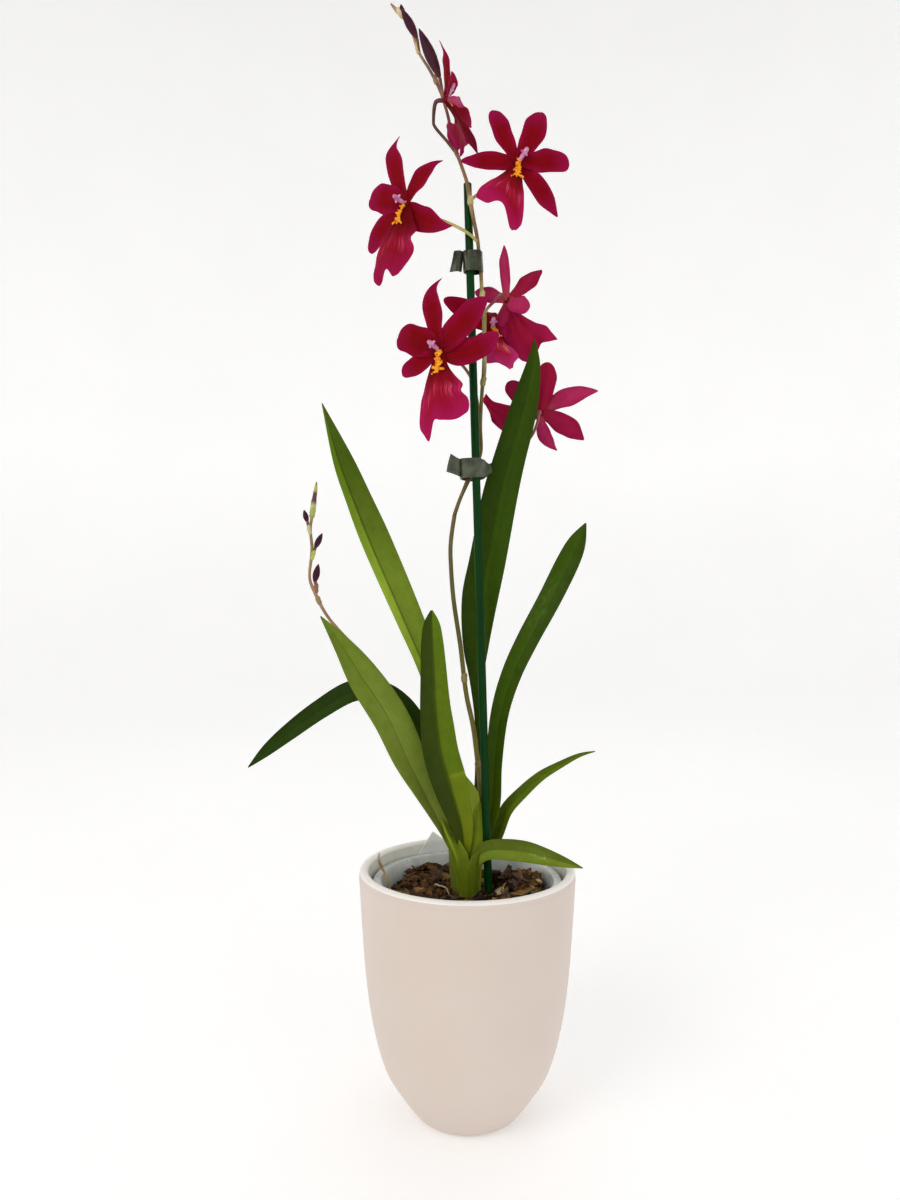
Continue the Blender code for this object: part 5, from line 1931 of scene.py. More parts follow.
BLOOMS = (
    Bloom(
        1, (-12.9, -7, 613.2), (0.85, -0.52, -0.1),
        ((-7.6, 3.2, 587.5), (-12.6, 1.4, 593), (-19.4, -0.6, 600), (-20.6, -2, 603.6)),
        (
            Tepal((-0.6, 1, 33.6), 8.6, 0.5, 0, 0.05, -6), Tepal((4.4, -10, 11.2), 11, 2, 0, 0.5),
            Tepal((16.6, 18, -5.4), 9.4, 2, 0, 0.9),
            Tepal((10.4, -17, -12.2), 6.4, 1, 0, 0.8, shade=(1.05, 2.4, 1.5)),
            Tepal((20.9, 14, -25.4), 10, 2, 4, 0, shade=(0.7, 0.9, 0.75)),
        ),
        Lip(
            (8.2, -6, -36.8), 5, 0,
            left=(
                (0, 0.8), (0.49, 1), (0.53, 8), (0.6, 10.4), (0.7, 13), (0.84, 12), (0.93, 7),
                (1, 2.4),
            ),
            right=(
                (0, 0.8), (0.2, 1), (0.27, 7), (0.35, 14), (0.53, 17), (0.64, 13.5), (0.76, 7.5),
                (1, 2.4),
            ),
            shade=(0.7, 0.3, 0.7), cup=0.08,
        ),
        ((0, (120, 84, 60)), (0.5, (84, 44, 40)), (1, (96, 34, 44))),
        crest_reach=0.08, crest_width=3, column_way=(0.5, -0.5, 0.8),
    ),
    Bloom(
        2, (30.6, -8, 574.6), (0.05, -0.98, 0.12),
        ((1.9, -2.2, 554), (5.6, 0.5, 559), (14, 2.5, 565), (24, 2.6, 571)),
        (
            Tepal((-14.3, 3, 34.4), 11.8, 2, -3.5, 0.85), Tepal((14, 3, 33.2), 14.5, 2, 3, 0.7),
            Tepal((31.3, 0, 0), 15.6, 2, 0, 0.9), Tepal((22.5, -3, -33.9), 12.5, 2, -2, 0.1, -1.4),
            Tepal((-34.6, -2, 0.8), 11.5, 2, -1.5, 0.2, root=0.3),
        ),
        Lip(
            (-5, -15, -46), 6, 0,
            left=((0, 2.6), (0.17, 8), (0.33, 15.5), (0.46, 21.5), (0.58, 23), (0.7, 20), (1, 19)),
            right=((0, 3.4), (0.17, 3), (0.33, 3.8), (0.46, 5), (0.6, 5.6), (0.85, 6), (1, 5)),
            hem=(
                (-1, 0.6), (-0.8, 0.67), (-0.5, 0.66), (-0.3, 0.72), (-0.16, 0.88), (-0.05, 1),
                (0.3, 1.02), (0.6, 1), (1, 0.93),
            ),
            frill=1.1,
        ),
        ((0, (196, 184, 128)), (0.3, (150, 120, 80)), (1, (110, 40, 60))),
        crest_reach=0.24, crest_width=5.4, column_way=(5, -5, 6),
    ),
    Bloom(
        3, (-37.1, -8, 549.4), (-0.45, -0.88, 0),
        (
            (6.6, 1, 530.5), (1.6, -1.9, 534), (-4.5, -1.6, 538), (-13, 0.6, 542.8),
            (-25, 1.4, 547.6),
        ),
        (
            Tepal((-9.4, 4, 42.4), 11.5, 3, -1.5, 0, 5.4),
            Tepal((21.2, -8, 24.6), 10.5, 2, -4, 0, 1.8),
            Tepal((-23.2, 9, 8.2), 16.6, 2, 1, 0.8, root=0.3),
            Tepal((-22.3, 6, -26.8), 13, 2, 4, 0.6),
            Tepal((27.5, -10, -17.8), 12.5, 2, 7, 0, -1.4, root=0.5),
        ),
        Lip(
            (-10.7, -10, -53.3), 8, 0,
            left=(
                (0, 1.5), (0.28, 4), (0.37, 6), (0.46, 8.6), (0.57, 11), (0.7, 11.5), (0.85, 11),
                (1, 9),
            ),
            right=(
                (0, 3.4), (0.28, 11), (0.37, 13.5), (0.45, 10.6), (0.57, 13.8), (0.7, 12),
                (0.8, 8.6), (1, 7.5),
            ),
            hem=(
                (-1, 0.93), (-0.7, 0.98), (-0.4, 0.94), (-0.18, 0.83), (-0.05, 0.82), (0.2, 0.87),
                (0.5, 0.9), (0.8, 0.87), (1, 0.8),
            ),
            shade=(0.84, 0.65, 0.72),
            frill=1,
        ),
        ((0, (178, 174, 92)), (0.35, (206, 192, 118)), (0.75, (186, 150, 110)), (1, (120, 50, 66))),
        crest_reach=0.24, crest_width=4.6, column_way=(-7.5, -6.5, 2.8),
    ),
    Bloom(
        4, (-16.5, -14, 459.4), (-0.28, -0.95, 0),
        (
            (8.4, 8.6, 420), (7.2, 11.5, 432), (3.8, 11.6, 447), (-2.5, 5.5, 455.6),
            (-10.5, -1.5, 459),
        ),
        (
            Tepal((-6.3, 5, 44.6), 11.5, 3, -1, 0.35, 7.2),
            Tepal((-26, 6, 10.2), 17, 2, 2, 1, root=0.3, shade=(0.88, 0.8, 0.6)),
            Tepal((27, -4, 31.4), 14.5, 2, 1, 0.6, root=0.5),
            Tepal((-23.3, 5, -13), 12, 2, -1, 0.6),
            Tepal((34.3, -6, 9.5), 14, 1, 12, 0.55, root=0.5),
        ),
        Lip(
            (1, -11, -52), 9, 0,
            left=(
                (0, 2.4), (0.2, 5.4), (0.35, 7.8), (0.5, 10), (0.6, 11.4), (0.75, 12.4),
                (0.88, 13.6), (1, 12.6),
            ),
            right=(
                (0, 3), (0.2, 5.4), (0.34, 9.6), (0.46, 14.4), (0.53, 13), (0.63, 17), (0.76, 17.4),
                (0.85, 14.6), (1, 11),
            ),
            hem=(
                (-1, 0.92), (-0.85, 0.99), (-0.65, 1.06), (-0.45, 0.96), (-0.28, 0.84), (0, 0.85),
                (0.5, 0.86), (0.8, 0.85), (1, 0.8),
            ),
            frill=1,
        ),
        ((0, (170, 168, 96)), (0.5, (150, 130, 80)), (1, (120, 50, 66))),
        crest_reach=0.26, crest_width=5.6, column_way=(-8.5, -6.5, 5.2),
    ),
    Bloom(
        5, (16.6, 24, 484), (0.15, -0.95, 0.1),
        ((10.8, 6, 455), (12.2, 13, 462), (14.5, 22, 470), (16.5, 31, 478)),
        (
            Tepal((-1.9, 14, 17), 11, 2, 0, 0.2),
            Tepal((-31, 0, 20.6), 13, 2, 0, 0.6, root=0.5, shade=(1.2, 0.6, 0.8)),
            Tepal((19, 9, 5), 13, 2, 0, 0.4), Tepal((-14.5, 0, -19), 12, 2, 0, 0.2),
            Tepal((13.5, 2, -24), 11, 2, 0, 0.2),
        ),
        Lip(
            (6.5, -15, -27), 7, 0,
            left=((0, 2.5), (0.3, 3), (0.5, 4), (0.75, 9), (0.9, 11), (1, 9)),
            right=((0, 2.5), (0.5, 4), (0.7, 9), (0.82, 11), (1, 8)),
            hem=((-1, 0.9), (-0.4, 0.94), (0, 1), (0.5, 1.08), (1, 0.86)), shade=(1.3, 4.5, 1.9),
        ),
        crest_reach=0.3, crest_width=4.6, column_way=(0.5, -7, 4),
    ),
    Bloom(
        6, (25.2, 10, 497.8), (0.55, 0.8, -0.2),
        ((10.6, 4.4, 487), (13, 4.6, 491.5), (16.5, 4, 494.8)),
        (
            Tepal((-2.6, -2, 34.1), 8, -2, 0, 0.1),
            Tepal((20.6, -6, 17.6), 12.4, -2, -1.5, 0.5, shade=(0.74, 0.25, 0.42)),
            Tepal((-20.3, 10, 9.8), 10, -2, 0, 0.4), Tepal((13.6, -8, -5.2), 12, -3, -3, 0.7),
            Tepal((-3.6, 5, -15), 9, 1, 0, 0.3, shade=(0.8, 0.5, 0.6)),
        ),
        Lip(
            (24, 11, -31), 0, -2,
            right=(
                (0, 2.4), (0.09, 9), (0.16, 13), (0.34, 14.4), (0.55, 14.2), (0.79, 13.6), (1, 11),
            ),
            left=((0, 2), (0.26, 3), (0.5, 7.4), (0.66, 12.2), (0.8, 12.6), (1, 12.6)),
            hem=(
                (-1, 0.97), (-0.65, 0.9), (-0.3, 0.84), (0, 0.88), (0.45, 0.93), (0.85, 0.94),
                (1, 0.86),
            ),
            frill=1.5, cup=-0.1,
        ),
        ((0, (190, 178, 120)), (0.3, (120, 50, 60)), (1, (160, 70, 84))),
        column_way=(0.5, 0.8, 0.4),
    ),
    Bloom(
        7, (47.9, 28, 431.4), (0.2, 0.95, 0.15),
        ((38, 23.6, 411), (42.5, 22, 417), (45.2, 20.4, 424)),
        (
            Tepal((4.3, -5, 31.5), 14, 1, 0, 0.8, shade=(0.85, 0.25, 0.45)),
            Tepal((37.6, 3, 14.9), 12, 1, 7, 0.1),
            Tepal((27.6, -3, -18), 13.5, 1, 3.5, 0.15, shade=(0.74, 0.25, 0.52)),
            Tepal((-21.4, 4, 20.4), 13, 1, 0, 0.9, shade=(0.76, 0.35, 0.52)),
            Tepal((11.2, 2, -23.9), 9, 1, -7, 0),
        ),
        Lip(
            (-38, 8, 10), 4, 8,
            right=((0, 3), (0.22, 6), (0.47, 5), (0.68, 4.3), (0.84, 3.6), (1, 5.5)),
            left=((0, 3), (0.17, 5), (0.35, 11.5), (0.51, 12.5), (0.7, 9), (0.82, 6), (1, 3)),
            hem=((-1, 0.72), (-0.6, 0.82), (-0.3, 0.9), (0, 0.97), (1, 1)), frill=1.3,
        ),
        ((0, (120, 96, 66)), (0.5, (140, 86, 84)), (1, (176, 96, 100))), column_way=(0.2, 0.9, 0.6),
    ),
)


@dataclass
class Spike:
    """A flowering stem: its routes with radii, its joints and the bracts on them."""

    stem: Sequence[Station] = (
        (1, 12, 150, 1.7), (5.5, 13.5, 166, 1.6), (8.2, 14.4, 179, 1.6), (8.6, 13.8, 192, 1.6),
        (6.4, 11.5, 213, 1.6), (3.9, 10.4, 232, 1.55), (-0.5, 9.8, 253, 1.5), (-4, 9.4, 282, 1.45),
        (-8.3, 9.2, 311, 1.4), (-10.1, 9.2, 336, 1.35), (-9.8, 9.2, 349, 1.35),
        (-7.6, 9.3, 364, 1.35),
    )
    rachis: Sequence[Station] = (
        (-7.6, 9.3, 364, 1.3), (-5.6, 9.3, 370, 1.25), (-3.2, 9.3, 376.2, 1.2), (1, 9.4, 385, 1.2),
        (5.7, 9.4, 395, 1.2), (8.8, 9, 404, 1.2), (8.4, 8.6, 420, 1.2), (9.4, 7.6, 440, 1.2),
        (10.7, 6, 454, 1.5), (10.7, 5, 475, 1.3), (10.6, 4.4, 486, 1.5), (9.3, 4, 499, 1.2),
        (8.6, 3.4, 512, 1.2), (7.6, 2.6, 521, 1.15), (6.4, 0.6, 532, 1.15), (4, -1.7, 543, 1.2),
        (1.9, -2.2, 554, 1.4), (0.1, -1.6, 565, 1.2), (-2.4, 0.4, 574, 1.1), (-5.2, 2, 582.6, 1.1),
        (-7.6, 3.2, 589, 1.2), (-11, 4.4, 606.5, 1), (-13.4, 4.6, 616, 1), (-16.6, 4.2, 626, 1.2),
        (-23, 4, 638, 0.9), (-30.3, 4, 650, 0.9), (-34, 4, 662, 0.9), (-38.6, 4, 669.5, 0.8),
        (-42.8, 4, 674.2, 1.3), (-47, 4, 679, 0.5),
    )
    branch: Sequence[Station] = (
        (-7.6, 9.3, 364, 1.1), (-5.2, 10.8, 371.6, 1), (-2.4, 11.9, 379, 1), (0.6, 12.8, 386.5, 1),
        (3.9, 13.4, 392.4, 1), (10.9, 14.6, 395.2, 1), (16.8, 19.5, 397, 1), (28, 23.6, 403, 1),
        (38, 23.6, 411, 1.1),
    )
    young: Sequence[Station] = (
        (-4.5, 8, 148, 1.4), (-9, 7.2, 160, 1.3), (-14.6, 6.8, 175, 1.3), (-22, 6.6, 196, 1.25),
        (-31, 6.2, 220, 1.2), (-40.8, 5.6, 241.5, 1.2), (-48.7, 4.4, 257, 1.15),
        (-58, 3.6, 267, 1.1), (-66.6, 3.2, 278.6, 1.05), (-80.2, 3, 293.4, 1), (-87.6, 3, 303, 1),
        (-93.7, 3, 315, 1.1), (-97.1, 3, 325, 0.9), (-95.6, 3, 341, 1), (-96.6, 3, 354, 0.9),
        (-95.8, 3, 361, 1), (-95.1, 3, 366, 1.7), (-94.5, 3, 371, 1.7), (-94, 3, 374.5, 1.3),
        (-93.4, 3, 378.5, 1.2), (-92.7, 3, 383.5, 0.35),
    )
    young_stalks: Sequence[Sequence[Station]] = (
        ((-92.9, 3, 313.5, 0.6), (-93, 3, 317.5, 0.9), (-93.7, 3, 323, 1.1)),
        ((-96.2, 3, 333.5, 0.5), (-95, 3, 338.5, 0.9), (-93.3, 3, 343.8, 1)),
        ((-96, 3, 349, 0.5), (-97.4, 3, 354.5, 0.9), (-98.6, 3, 359.6, 0.9)),
    )
    bud_stalks: Sequence[Sequence[Station]] = (
        ((-14.4, 4.5, 620.5, 0.9), (-15.6, 1.4, 626, 0.9), (-16.8, -0.8, 630.5, 1.1)),
        ((-29.4, 4, 648.5, 0.8), (-30, 1.6, 652, 0.8), (-30.6, -0.1, 654.8, 0.9)),
    )
    stem_shades: Tints = (
        (0, (150, 140, 80)), (0.14, (178, 164, 116)), (0.2, (126, 96, 48)), (0.28, (128, 116, 48)),
        (0.45, (112, 104, 36)), (0.7, (90, 88, 26)), (1, (96, 84, 34)),
    )
    rachis_shades: Tints = (
        (0, (104, 84, 42)), (0.12, (98, 88, 36)), (0.26, (112, 100, 48)), (0.3, (176, 172, 112)),
        (0.4, (134, 138, 72)), (0.42, (186, 176, 112)), (0.45, (128, 104, 62)),
        (0.55, (120, 92, 62)), (0.585, (176, 158, 104)), (0.61, (132, 100, 66)),
        (0.64, (150, 112, 74)), (0.7, (126, 84, 62)), (0.85, (140, 92, 84)),
        (0.95, (214, 192, 150)), (1, (150, 96, 96)),
    )
    branch_shades: Tints = (
        (0, (112, 82, 40)), (0.3, (140, 98, 52)), (0.5, (92, 60, 38)), (1, (110, 70, 56)),
    )
    young_shades: Tints = (
        (0, (120, 124, 50)), (0.4, (130, 112, 56)), (0.6, (150, 116, 78)), (0.75, (176, 136, 104)),
        (0.84, (150, 128, 80)), (0.9, (136, 110, 84)), (0.925, (190, 186, 110)),
        (0.945, (204, 204, 150)), (0.953, (96, 48, 60)), (0.972, (84, 38, 52)),
        (0.98, (196, 196, 110)), (0.99, (186, 180, 96)), (1, (104, 88, 50)),
    )
    bud_stalk_shades: Tints = ((0, (150, 110, 84)), (1, (110, 60, 70)))
    young_stalk_shades: Tints = ((0, (150, 120, 84)), (1, (112, 60, 62)))
    stem_joints: Sequence[Joint] = ((0.27, 4, (150, 130, 72)), (0.52, 5, (150, 134, 78)))
    rachis_joints: Sequence[Joint] = (
        (0.256, 4.5, (150, 140, 80)), (0.325, 3.5, (196, 190, 128)), (0.415, 3.5, (206, 194, 132)),
        (0.585, 3.5, (206, 192, 134)), (0.715, 3, (150, 110, 80)), (0.83, 3.5, (176, 140, 100)),
        (0.895, 5, (222, 206, 150)), (0.968, 5, (226, 210, 160)),
    )
    young_joints: Sequence[Joint] = (
        (0.46, 6, (120, 112, 60)), (0.71, 4, (150, 130, 90)), (0.922, 5, (176, 178, 96))
    )
    stalk_joints: Sequence[Joint] = (
        (0.3, 5, (150, 104, 78)), (0.3, 5, (190, 198, 96)), (0.3, 5, (206, 200, 146))
    )
    swelling: Stops = ((-1.2, 0.02), (-0.7, 0.22), (0, 0.42), (0.5, 0.3), (1, 0.04))
    bract_thickness: float = 0.3
    bract_wrap: float = 2.2
    bract_way: Point = (0.3, -0.95, 0.1)

    def add_joint(
        self, form: Form, route: Sequence[Station], reach: float, length: float, shade: Rgb
    ) -> None:
        """Adds a joint's swollen ring and the pointed bract that clasps the stem above it.

        Args:
            form: the mesh that takes it.
            route: the stem's stations.
            reach: the share of the way along the stem.
            length: the bract's, in millimetres.
            shade: its screen colour.
        """
        read = smooth_points(route, FINE + 1)
        i = round(reach * FINE)
        here, there = Vector(read[i][:3]), Vector(read[i + 3][:3])
        tangent = (there - here).normalized()
        radius = read[i][3]
        ring = [(*(here + tangent * off), radius + more) for off, more in self.swelling]
        add_tube(form, ring, 16, [(0, shade), (1, shade)])
        side, out = across(tangent, Vector(self.bract_way))
        layer = form.verts.layers.float_color[TINT]

        def place(t: float, v: float) -> Vector:
            """A point of the bract.

            Args:
                t: the share of the way to the tip.
                v: the place across, from -1 to 1.

            Returns:
                The point, in millimetres.
            """
            wrap = self.bract_wrap * (1 - t) ** 0.7 * v
            near = radius + 0.3 + 0.9 * t * t
            around = out * math.cos(wrap) + side * math.sin(wrap)
            return here + tangent * length * t + around * near

        for vert in add_blade(form, 10, 8, place):
            vert[layer] = linear(shade)

    def bracts(
        self, name: str, joints: Sequence[tuple[Sequence[Station], Sequence[Joint]]],
        finishes: Materials,
    ) -> Piece:
        """The joints with their bracts on some stems, as one piece.

        Args:
            name: the piece's name.
            joints: each stem's stations, with its joints.
            finishes: the materials by name.

        Returns:
            The piece.
        """
        form = new_form()
        for route, rows in joints:
            for joint in rows:
                self.add_joint(form, route, *joint)
        made = finished(form, name, [finishes["stem_skin"]], outward=False)
        return thickened(made, self.bract_thickness, 0)

    def build(self, finishes: Materials, blooms: Sequence[Bloom]) -> list[Piece]:
        """The main spike with every stalk, and the young spike.

        Args:
            finishes: the materials by name.
            blooms: the blooms whose stalks it carries.

        Returns:
            The pieces.
        """
        skin = [finishes["stem_skin"]]
        form = new_form()
        add_stem(form, self.stem, 90, 14, self.stem_shades)
        add_stem(form, self.rachis, 200, 12, self.rachis_shades)
        add_stem(form, self.branch, 60, 12, self.branch_shades)
        for bloom in blooms:
            add_stem(form, bloom.stalk_route(), 40, 12, bloom.stalk_shades)
        for route in self.bud_stalks:
            add_stem(form, route, 12, 10, self.bud_stalk_shades)
        stems = finished(form, "spike_main_stems", skin)
        joints = ((self.stem, self.stem_joints), (self.rachis, self.rachis_joints))
        bracts = self.bracts("spike_main_bracts", joints, finishes)
        form = new_form()
        add_stem(form, self.young, 180, 12, self.young_shades)
        for route in self.young_stalks:
            add_stem(form, route, 14, 10, self.young_stalk_shades)
        young = finished(form, "spike_young_stem", skin)
        joints = [(self.young, self.young_joints)]
        joints += [(route, [joint]) for route, joint in zip(self.young_stalks, self.stalk_joints)]
        young_bracts = self.bracts("spike_young_bracts", joints, finishes)
        return [
            fit(stems, "spike", "spike_main"), fit(bracts, "spike", "spike_main"),
            fit(young, "spike", "spike_young"), fit(young_bracts, "spike", "spike_young"),
        ]


@dataclass
class Buds:
    """Unopened buds: foot, tip and greatest radius."""

    buds: dict[str, tuple[Point, Point, float]] = field(default_factory=lambda: {
        "bud_1": ((-17, -1, 631), (-29.6, -1, 660.6), 3.6),
        "bud_2": ((-30.8, -0.2, 655.2), (-40.4, -0.2, 673.4), 2.8),
        "bud_3": ((-39.4, 6, 671), (-41, 6.2, 680.4), 1.9),
        "bud_4": ((-98.4, 3, 358.6), (-100.6, 3, 366.4), 1.7),
        "bud_5": ((-93.8, 3, 342.6), (-89.2, 3, 352), 1.9),
        "bud_6": ((-94, 3, 321.6), (-91.6, 3, 333), 2.2),
    })
    outline: Stops = ((0, 0.35), (0.2, 0.8), (0.45, 1), (0.7, 0.78), (0.88, 0.42), (1, 0.06))
    shades: Tints = ((0, (96, 44, 50)), (0.15, (62, 8, 36)), (0.7, (48, 4, 30)), (1, (88, 26, 58)))
    rings: int = 30
    seam: float = 0.09

    def build(self, finishes: Materials) -> list[Piece]:
        """Each bud, with three seams where its sepals meet.

        Args:
            finishes: the materials by name.

        Returns:
            The pieces.
        """
        made = []
        for node, (foot, tip, radius) in self.buds.items():
            start, end = Vector(foot), Vector(tip)
            route = [
                (*start.lerp(end, t), radius * max(read_stops(self.outline, t), 0.05))
                for t in (i / self.rings for i in range(self.rings + 1))
            ]
            form = new_form()
            add_tube(form, route, 24, self.shades)
            axis = (end - start).normalized()
            side, out = across(axis, Vector((0.2, -1, 0.1)))
            for vert in form.verts:
                off = vert.co - start * MM
                radial = off - axis * off.dot(axis)
                turn = math.atan2(radial.dot(side), radial.dot(out))
                vert.co -= radial * self.seam * math.cos(1.5 * turn) ** 16
            made.append(fit(finished(form, node + "_skin", [finishes["bud_skin"]]), "bud", node))
        return made


@dataclass
class Stake:
    """The green cane that holds the spike."""

    foot: Point = (14.7, 3.0, 80.0)
    top: Point = (0.3, 3.0, 567.5)
    radius: float = 2.5
    rings: int = 60
    edge: float = 0.35

    def build(self, finishes: Materials) -> Piece:
        """The cane, with a softly cut top and faint lengthwise ribs.

        Args:
            finishes: the materials by name.

        Returns:
            The piece.
        """
        start, end = Vector(self.foot), Vector(self.top)
        length = (end - start).length
        route = [(*start.lerp(end, i / self.rings), self.radius) for i in range(self.rings)]
        route.append((*start.lerp(end, 1 - self.edge / length), self.radius))
        route.append((*end, self.radius - self.edge))
        form = new_form()
        add_tube(form, route, 32, [(0, (14, 62, 28)), (1, (14, 62, 28))])
        made = finished(form, "stake_cane", [finishes["stake_plastic"]])
        made.data.set_sharp_from_angle(angle=math.radians(SHARP["cane"]))
        return fit(made, "stake_plastic", "stake")


@dataclass
class Clip:
    """A bent tape clip: its band seen from above, its edges' heights and its flag's corners."""

    node: str
    ring: Sequence[tuple[float, float, float]]
    low: float
    high: float
    flag: Sequence[Sequence[Point]]
    lean: float = (Stake.top[0] - Stake.foot[0]) / (Stake.top[2] - Stake.foot[2])
    worn: bool = False
    thickness: float = 0.7
    crinkle: float = 0.12
    between: int = 5
    rows: int = 5
    flag_steps: int = 8

    def add_band(self, form: Form) -> None:
        """Adds the band, as rows of vertices from its lower edge to its upper one.

        Args:
            form: the mesh that takes it.
        """
        middle, half = (self.low + self.high) / 2, (self.high - self.low) / 2
        corners = [Vector(corner) for corner in self.ring]
        plan = [
            a.lerp(b, k / self.between)
            for a, b in zip(corners, corners[1:] + corners[:1]) for k in range(self.between)
        ]
        ring, edges = first_ring(form, len(plan))
        ring.sort(key=lambda vert: math.atan2(vert.co.y, vert.co.x))
        known = {vert: i for i, vert in enumerate(ring)}
        for row in range(self.rows + 1):
            if row:
                ring, edges = next_ring(form, edges)
                known = carried(known, ring)
            level = 2 * row / self.rows - 1
            for vert, i in known.items():
                x, y, share = plan[i]
                rise = half * share * level
                crease = self.crinkle * math.sin(i * 1.9 + level * 2) if row else 0.0
                vert.co = Vector((x + self.lean * rise + crease, y + crease, middle + rise)) * MM

    def add_flag(self, form: Form) -> None:
        """Adds the flag, as a smooth sheet through its corners.

        Args:
            form: the mesh that takes it.
        """
        steps = self.flag_steps
        rows = [smooth_points(row, steps + 1) for row in self.flag]
        columns = [smooth_points(column, steps + 1) for column in zip(*rows)]
        add_blade(
            form, steps, steps,
            lambda reach, v: Vector(columns[round((v + 1) / 2 * steps)][round(reach * steps)]),
        )

    def build(self, finishes: Materials) -> Piece:
        """The band and its flag, creased like bent tape.

        Args:
            finishes: the materials by name.

        Returns:
            The piece.
        """
        form = new_form()
        self.add_band(form)
        self.add_flag(form)
        tape = finishes["worn_clip_tape" if self.worn else "clip_tape"]
        made = finished(form, self.node + "_tape", [tape], outward=False)
        thickened(made, self.thickness, 0)
        made.data.set_sharp_from_angle(angle=math.radians(SHARP["tape"]))
        return fit(made, "clip_plastic", self.node)


CLIPS = (
    Clip(
        "clip_upper",
        (
            (-2.2, 3, 1), (-1.6, 0.4, 1), (1.6, -0.8, 1), (5.4, -1, 1), (8.4, 0.2, 1),
            (9.5, 3.2, 1), (8.4, 6.2, 1), (5, 7.4, 1), (1, 7, 1), (-1.4, 5.6, 1),
        ),
        512.8, 525.2,
        (
            ((-3.6, 2.2, 512.6), (-6.4, 0, 512.4), (-10.6, 1.4, 512.4)),
            ((-2.9, 2.3, 518.6), (-5.2, 0.2, 518.8), (-9.2, 1.4, 518.6)),
            ((-1.9, 2.4, 524.8), (-4.4, 0.6, 525.2), (-8, 1.4, 525.2)),
        ),
    ),
    Clip(
        "clip_lower",
        (
            (-4.2, 4, 1), (-2.6, 0.6, 1), (2.4, -1, 1), (7.4, -1, 1), (10.6, 2, 0.85),
            (15.4, 9, 0.3), (10.4, 15.6, 0.8), (6, 18, 1), (0.2, 17, 1), (-3.8, 10, 1),
        ),
        385.8, 397.8,
        (
            ((-3.6, 3, 386.4), (-6.6, 0.4, 387.4), (-12.6, 2, 389.6)),
            ((-3.6, 3, 391.6), (-6.4, 0.6, 392.6), (-11.8, 1.8, 394.4)),
            ((-3.6, 3, 397.2), (-6, 0.8, 398), (-10, 1.8, 400.8)),
        ),
        worn=True,
    ),
)


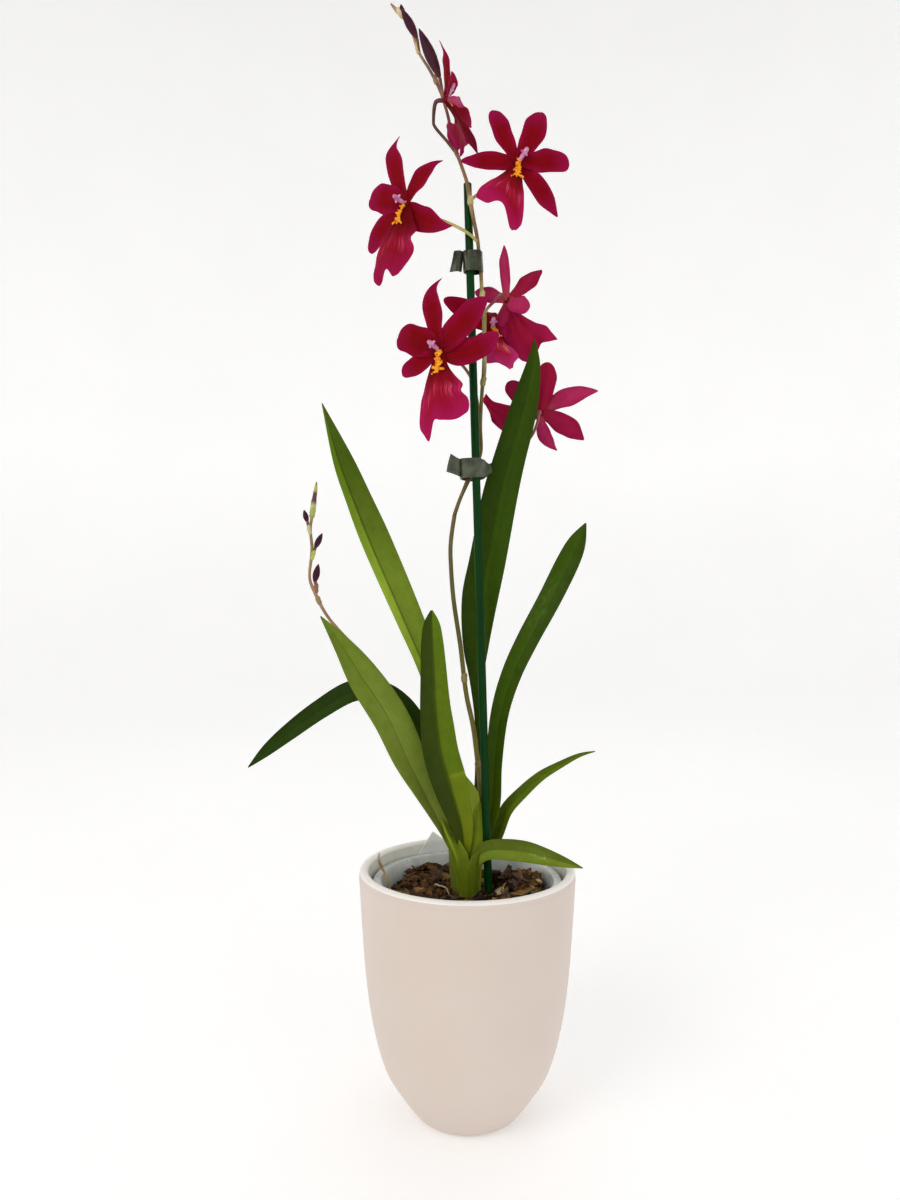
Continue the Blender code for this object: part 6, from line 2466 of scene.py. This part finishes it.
@dataclass
class Studio:
    """A pale seamless floor, soft lights, a dim sky and the camera at the photo's angle."""

    eye: Point = (-10.5, -531.0, 310.7)
    focal: float = 866 / 1200 * SENSOR
    clip: tuple[float, float] = (0.02, 20)
    sky: tuple[float, float, float, float] = (1.0, 0.985, 0.97, 1)
    sky_strength: float = 0.4
    sweep_radius: float = 3200
    wall_height: float = 3400
    corner: float = 900
    corner_steps: int = 10

    def add_floor(self, finishes: Materials) -> None:
        """A round floor that curves up into a wall.

        Args:
            finishes: the materials by name.
        """
        angles = [math.pi / 2 * k / self.corner_steps for k in range(self.corner_steps + 1)]
        bend = [
            (self.corner * (1 - math.cos(a)), self.sweep_radius - self.corner * (1 - math.sin(a)))
            for a in angles
        ]
        form = bmesh.new()
        turned(form, [(0, 0), *bend, (self.wall_height, self.sweep_radius)], 96)
        floor = finished(form, "studio_floor", [finishes["pale_floor"]], outward=False)
        faces = floor.data.polygons
        if any(face.normal.z < -0.01 or face.normal.dot(face.center) > 0.01 for face in faces):
            floor.data.flip_normals()
        floor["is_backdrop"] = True

    def add_light(
        self, name: str, place: Point, target: Point, size: float, power: float, colour: Rgb
    ) -> None:
        """A soft square light that looks at a point, with its size and places in metres.

        Args:
            name: its name.
            place: where it stands.
            target: what it looks at.
            size: its side.
            power: in watts.
            colour: in linear light.
        """
        data = bpy.data.lights.new(name, "AREA")
        data.color = colour
        data.size = size
        data.energy = power
        light = bpy.data.objects.new(name, data)
        bpy.context.scene.collection.objects.link(light)
        light.location = place
        light.rotation_euler = (Vector(target) - Vector(place)).to_track_quat("-Z", "Y").to_euler()

    def build(self, finishes: Materials) -> None:
        """Floor, lights, world and camera.

        Args:
            finishes: the materials by name.
        """
        self.add_floor(finishes)
        self.add_light("key_light", (-1.1, -1.3, 1.5), (0, 0, 0.35), 0.9, 8.6, (1, 0.97, 0.93))
        self.add_light("fill_light", (1.3, -1.2, 0.9), (0, 0, 0.3), 1.4, 2.4, (0.93, 0.97, 1))
        self.add_light("top_light", (0.2, 0.7, 1.9), (0, 0, 0.3), 1.4, 4.2, (1, 1, 1))
        scene = bpy.context.scene
        world = bpy.data.worlds.new("soft_room")
        world.use_nodes = True
        sky = world.node_tree.nodes["Background"]
        sky.inputs["Color"].default_value = self.sky
        sky.inputs["Strength"].default_value = self.sky_strength
        scene.world = world
        scene.view_settings.view_transform = "Standard"
        data = bpy.data.cameras.new("photo_camera")
        data.sensor_width = SENSOR
        data.lens = self.focal
        data.clip_start, data.clip_end = self.clip
        camera = bpy.data.objects.new("photo_camera", data)
        scene.collection.objects.link(camera)
        camera.location = Vector(self.eye) * MM
        camera.rotation_euler = (math.pi / 2, 0, 0)
        scene.camera = camera


def main() -> None:
    """Builds every sub-assembly round the frame and reports each piece."""
    logging.basicConfig(level=logging.INFO, format="%(name)s %(message)s")
    noise.seed_set(SEED)
    finishes = {finish.name: finish.make() for finish in FINISHES}
    Studio().build(finishes)
    pot = CoverPot()
    nursery = NurseryPot(pot)
    pot.build(finishes)
    nursery.build(finishes)
    PlantLabel(pot).build(finishes)
    BarkBed(nursery).build(finishes)
    Roots().build(finishes)
    Pseudobulb().build(finishes)
    for leaf in (*LEAVES, *SHEATHS):
        leaf.build(finishes)
    Spike().build(finishes, BLOOMS)
    Stake().build(finishes)
    for clip in CLIPS:
        clip.build(finishes)
    for bloom in BLOOMS:
        bloom.build(finishes)
    Buds().build(finishes)
    boxes = {"cad": CAD_BOX, "visual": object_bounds()}
    sizes = {name: [list(corner) for corner in box] for name, box in boxes.items()}
    LOG.info("sizes %s", sizes)


if __name__ == "__main__":
    main()
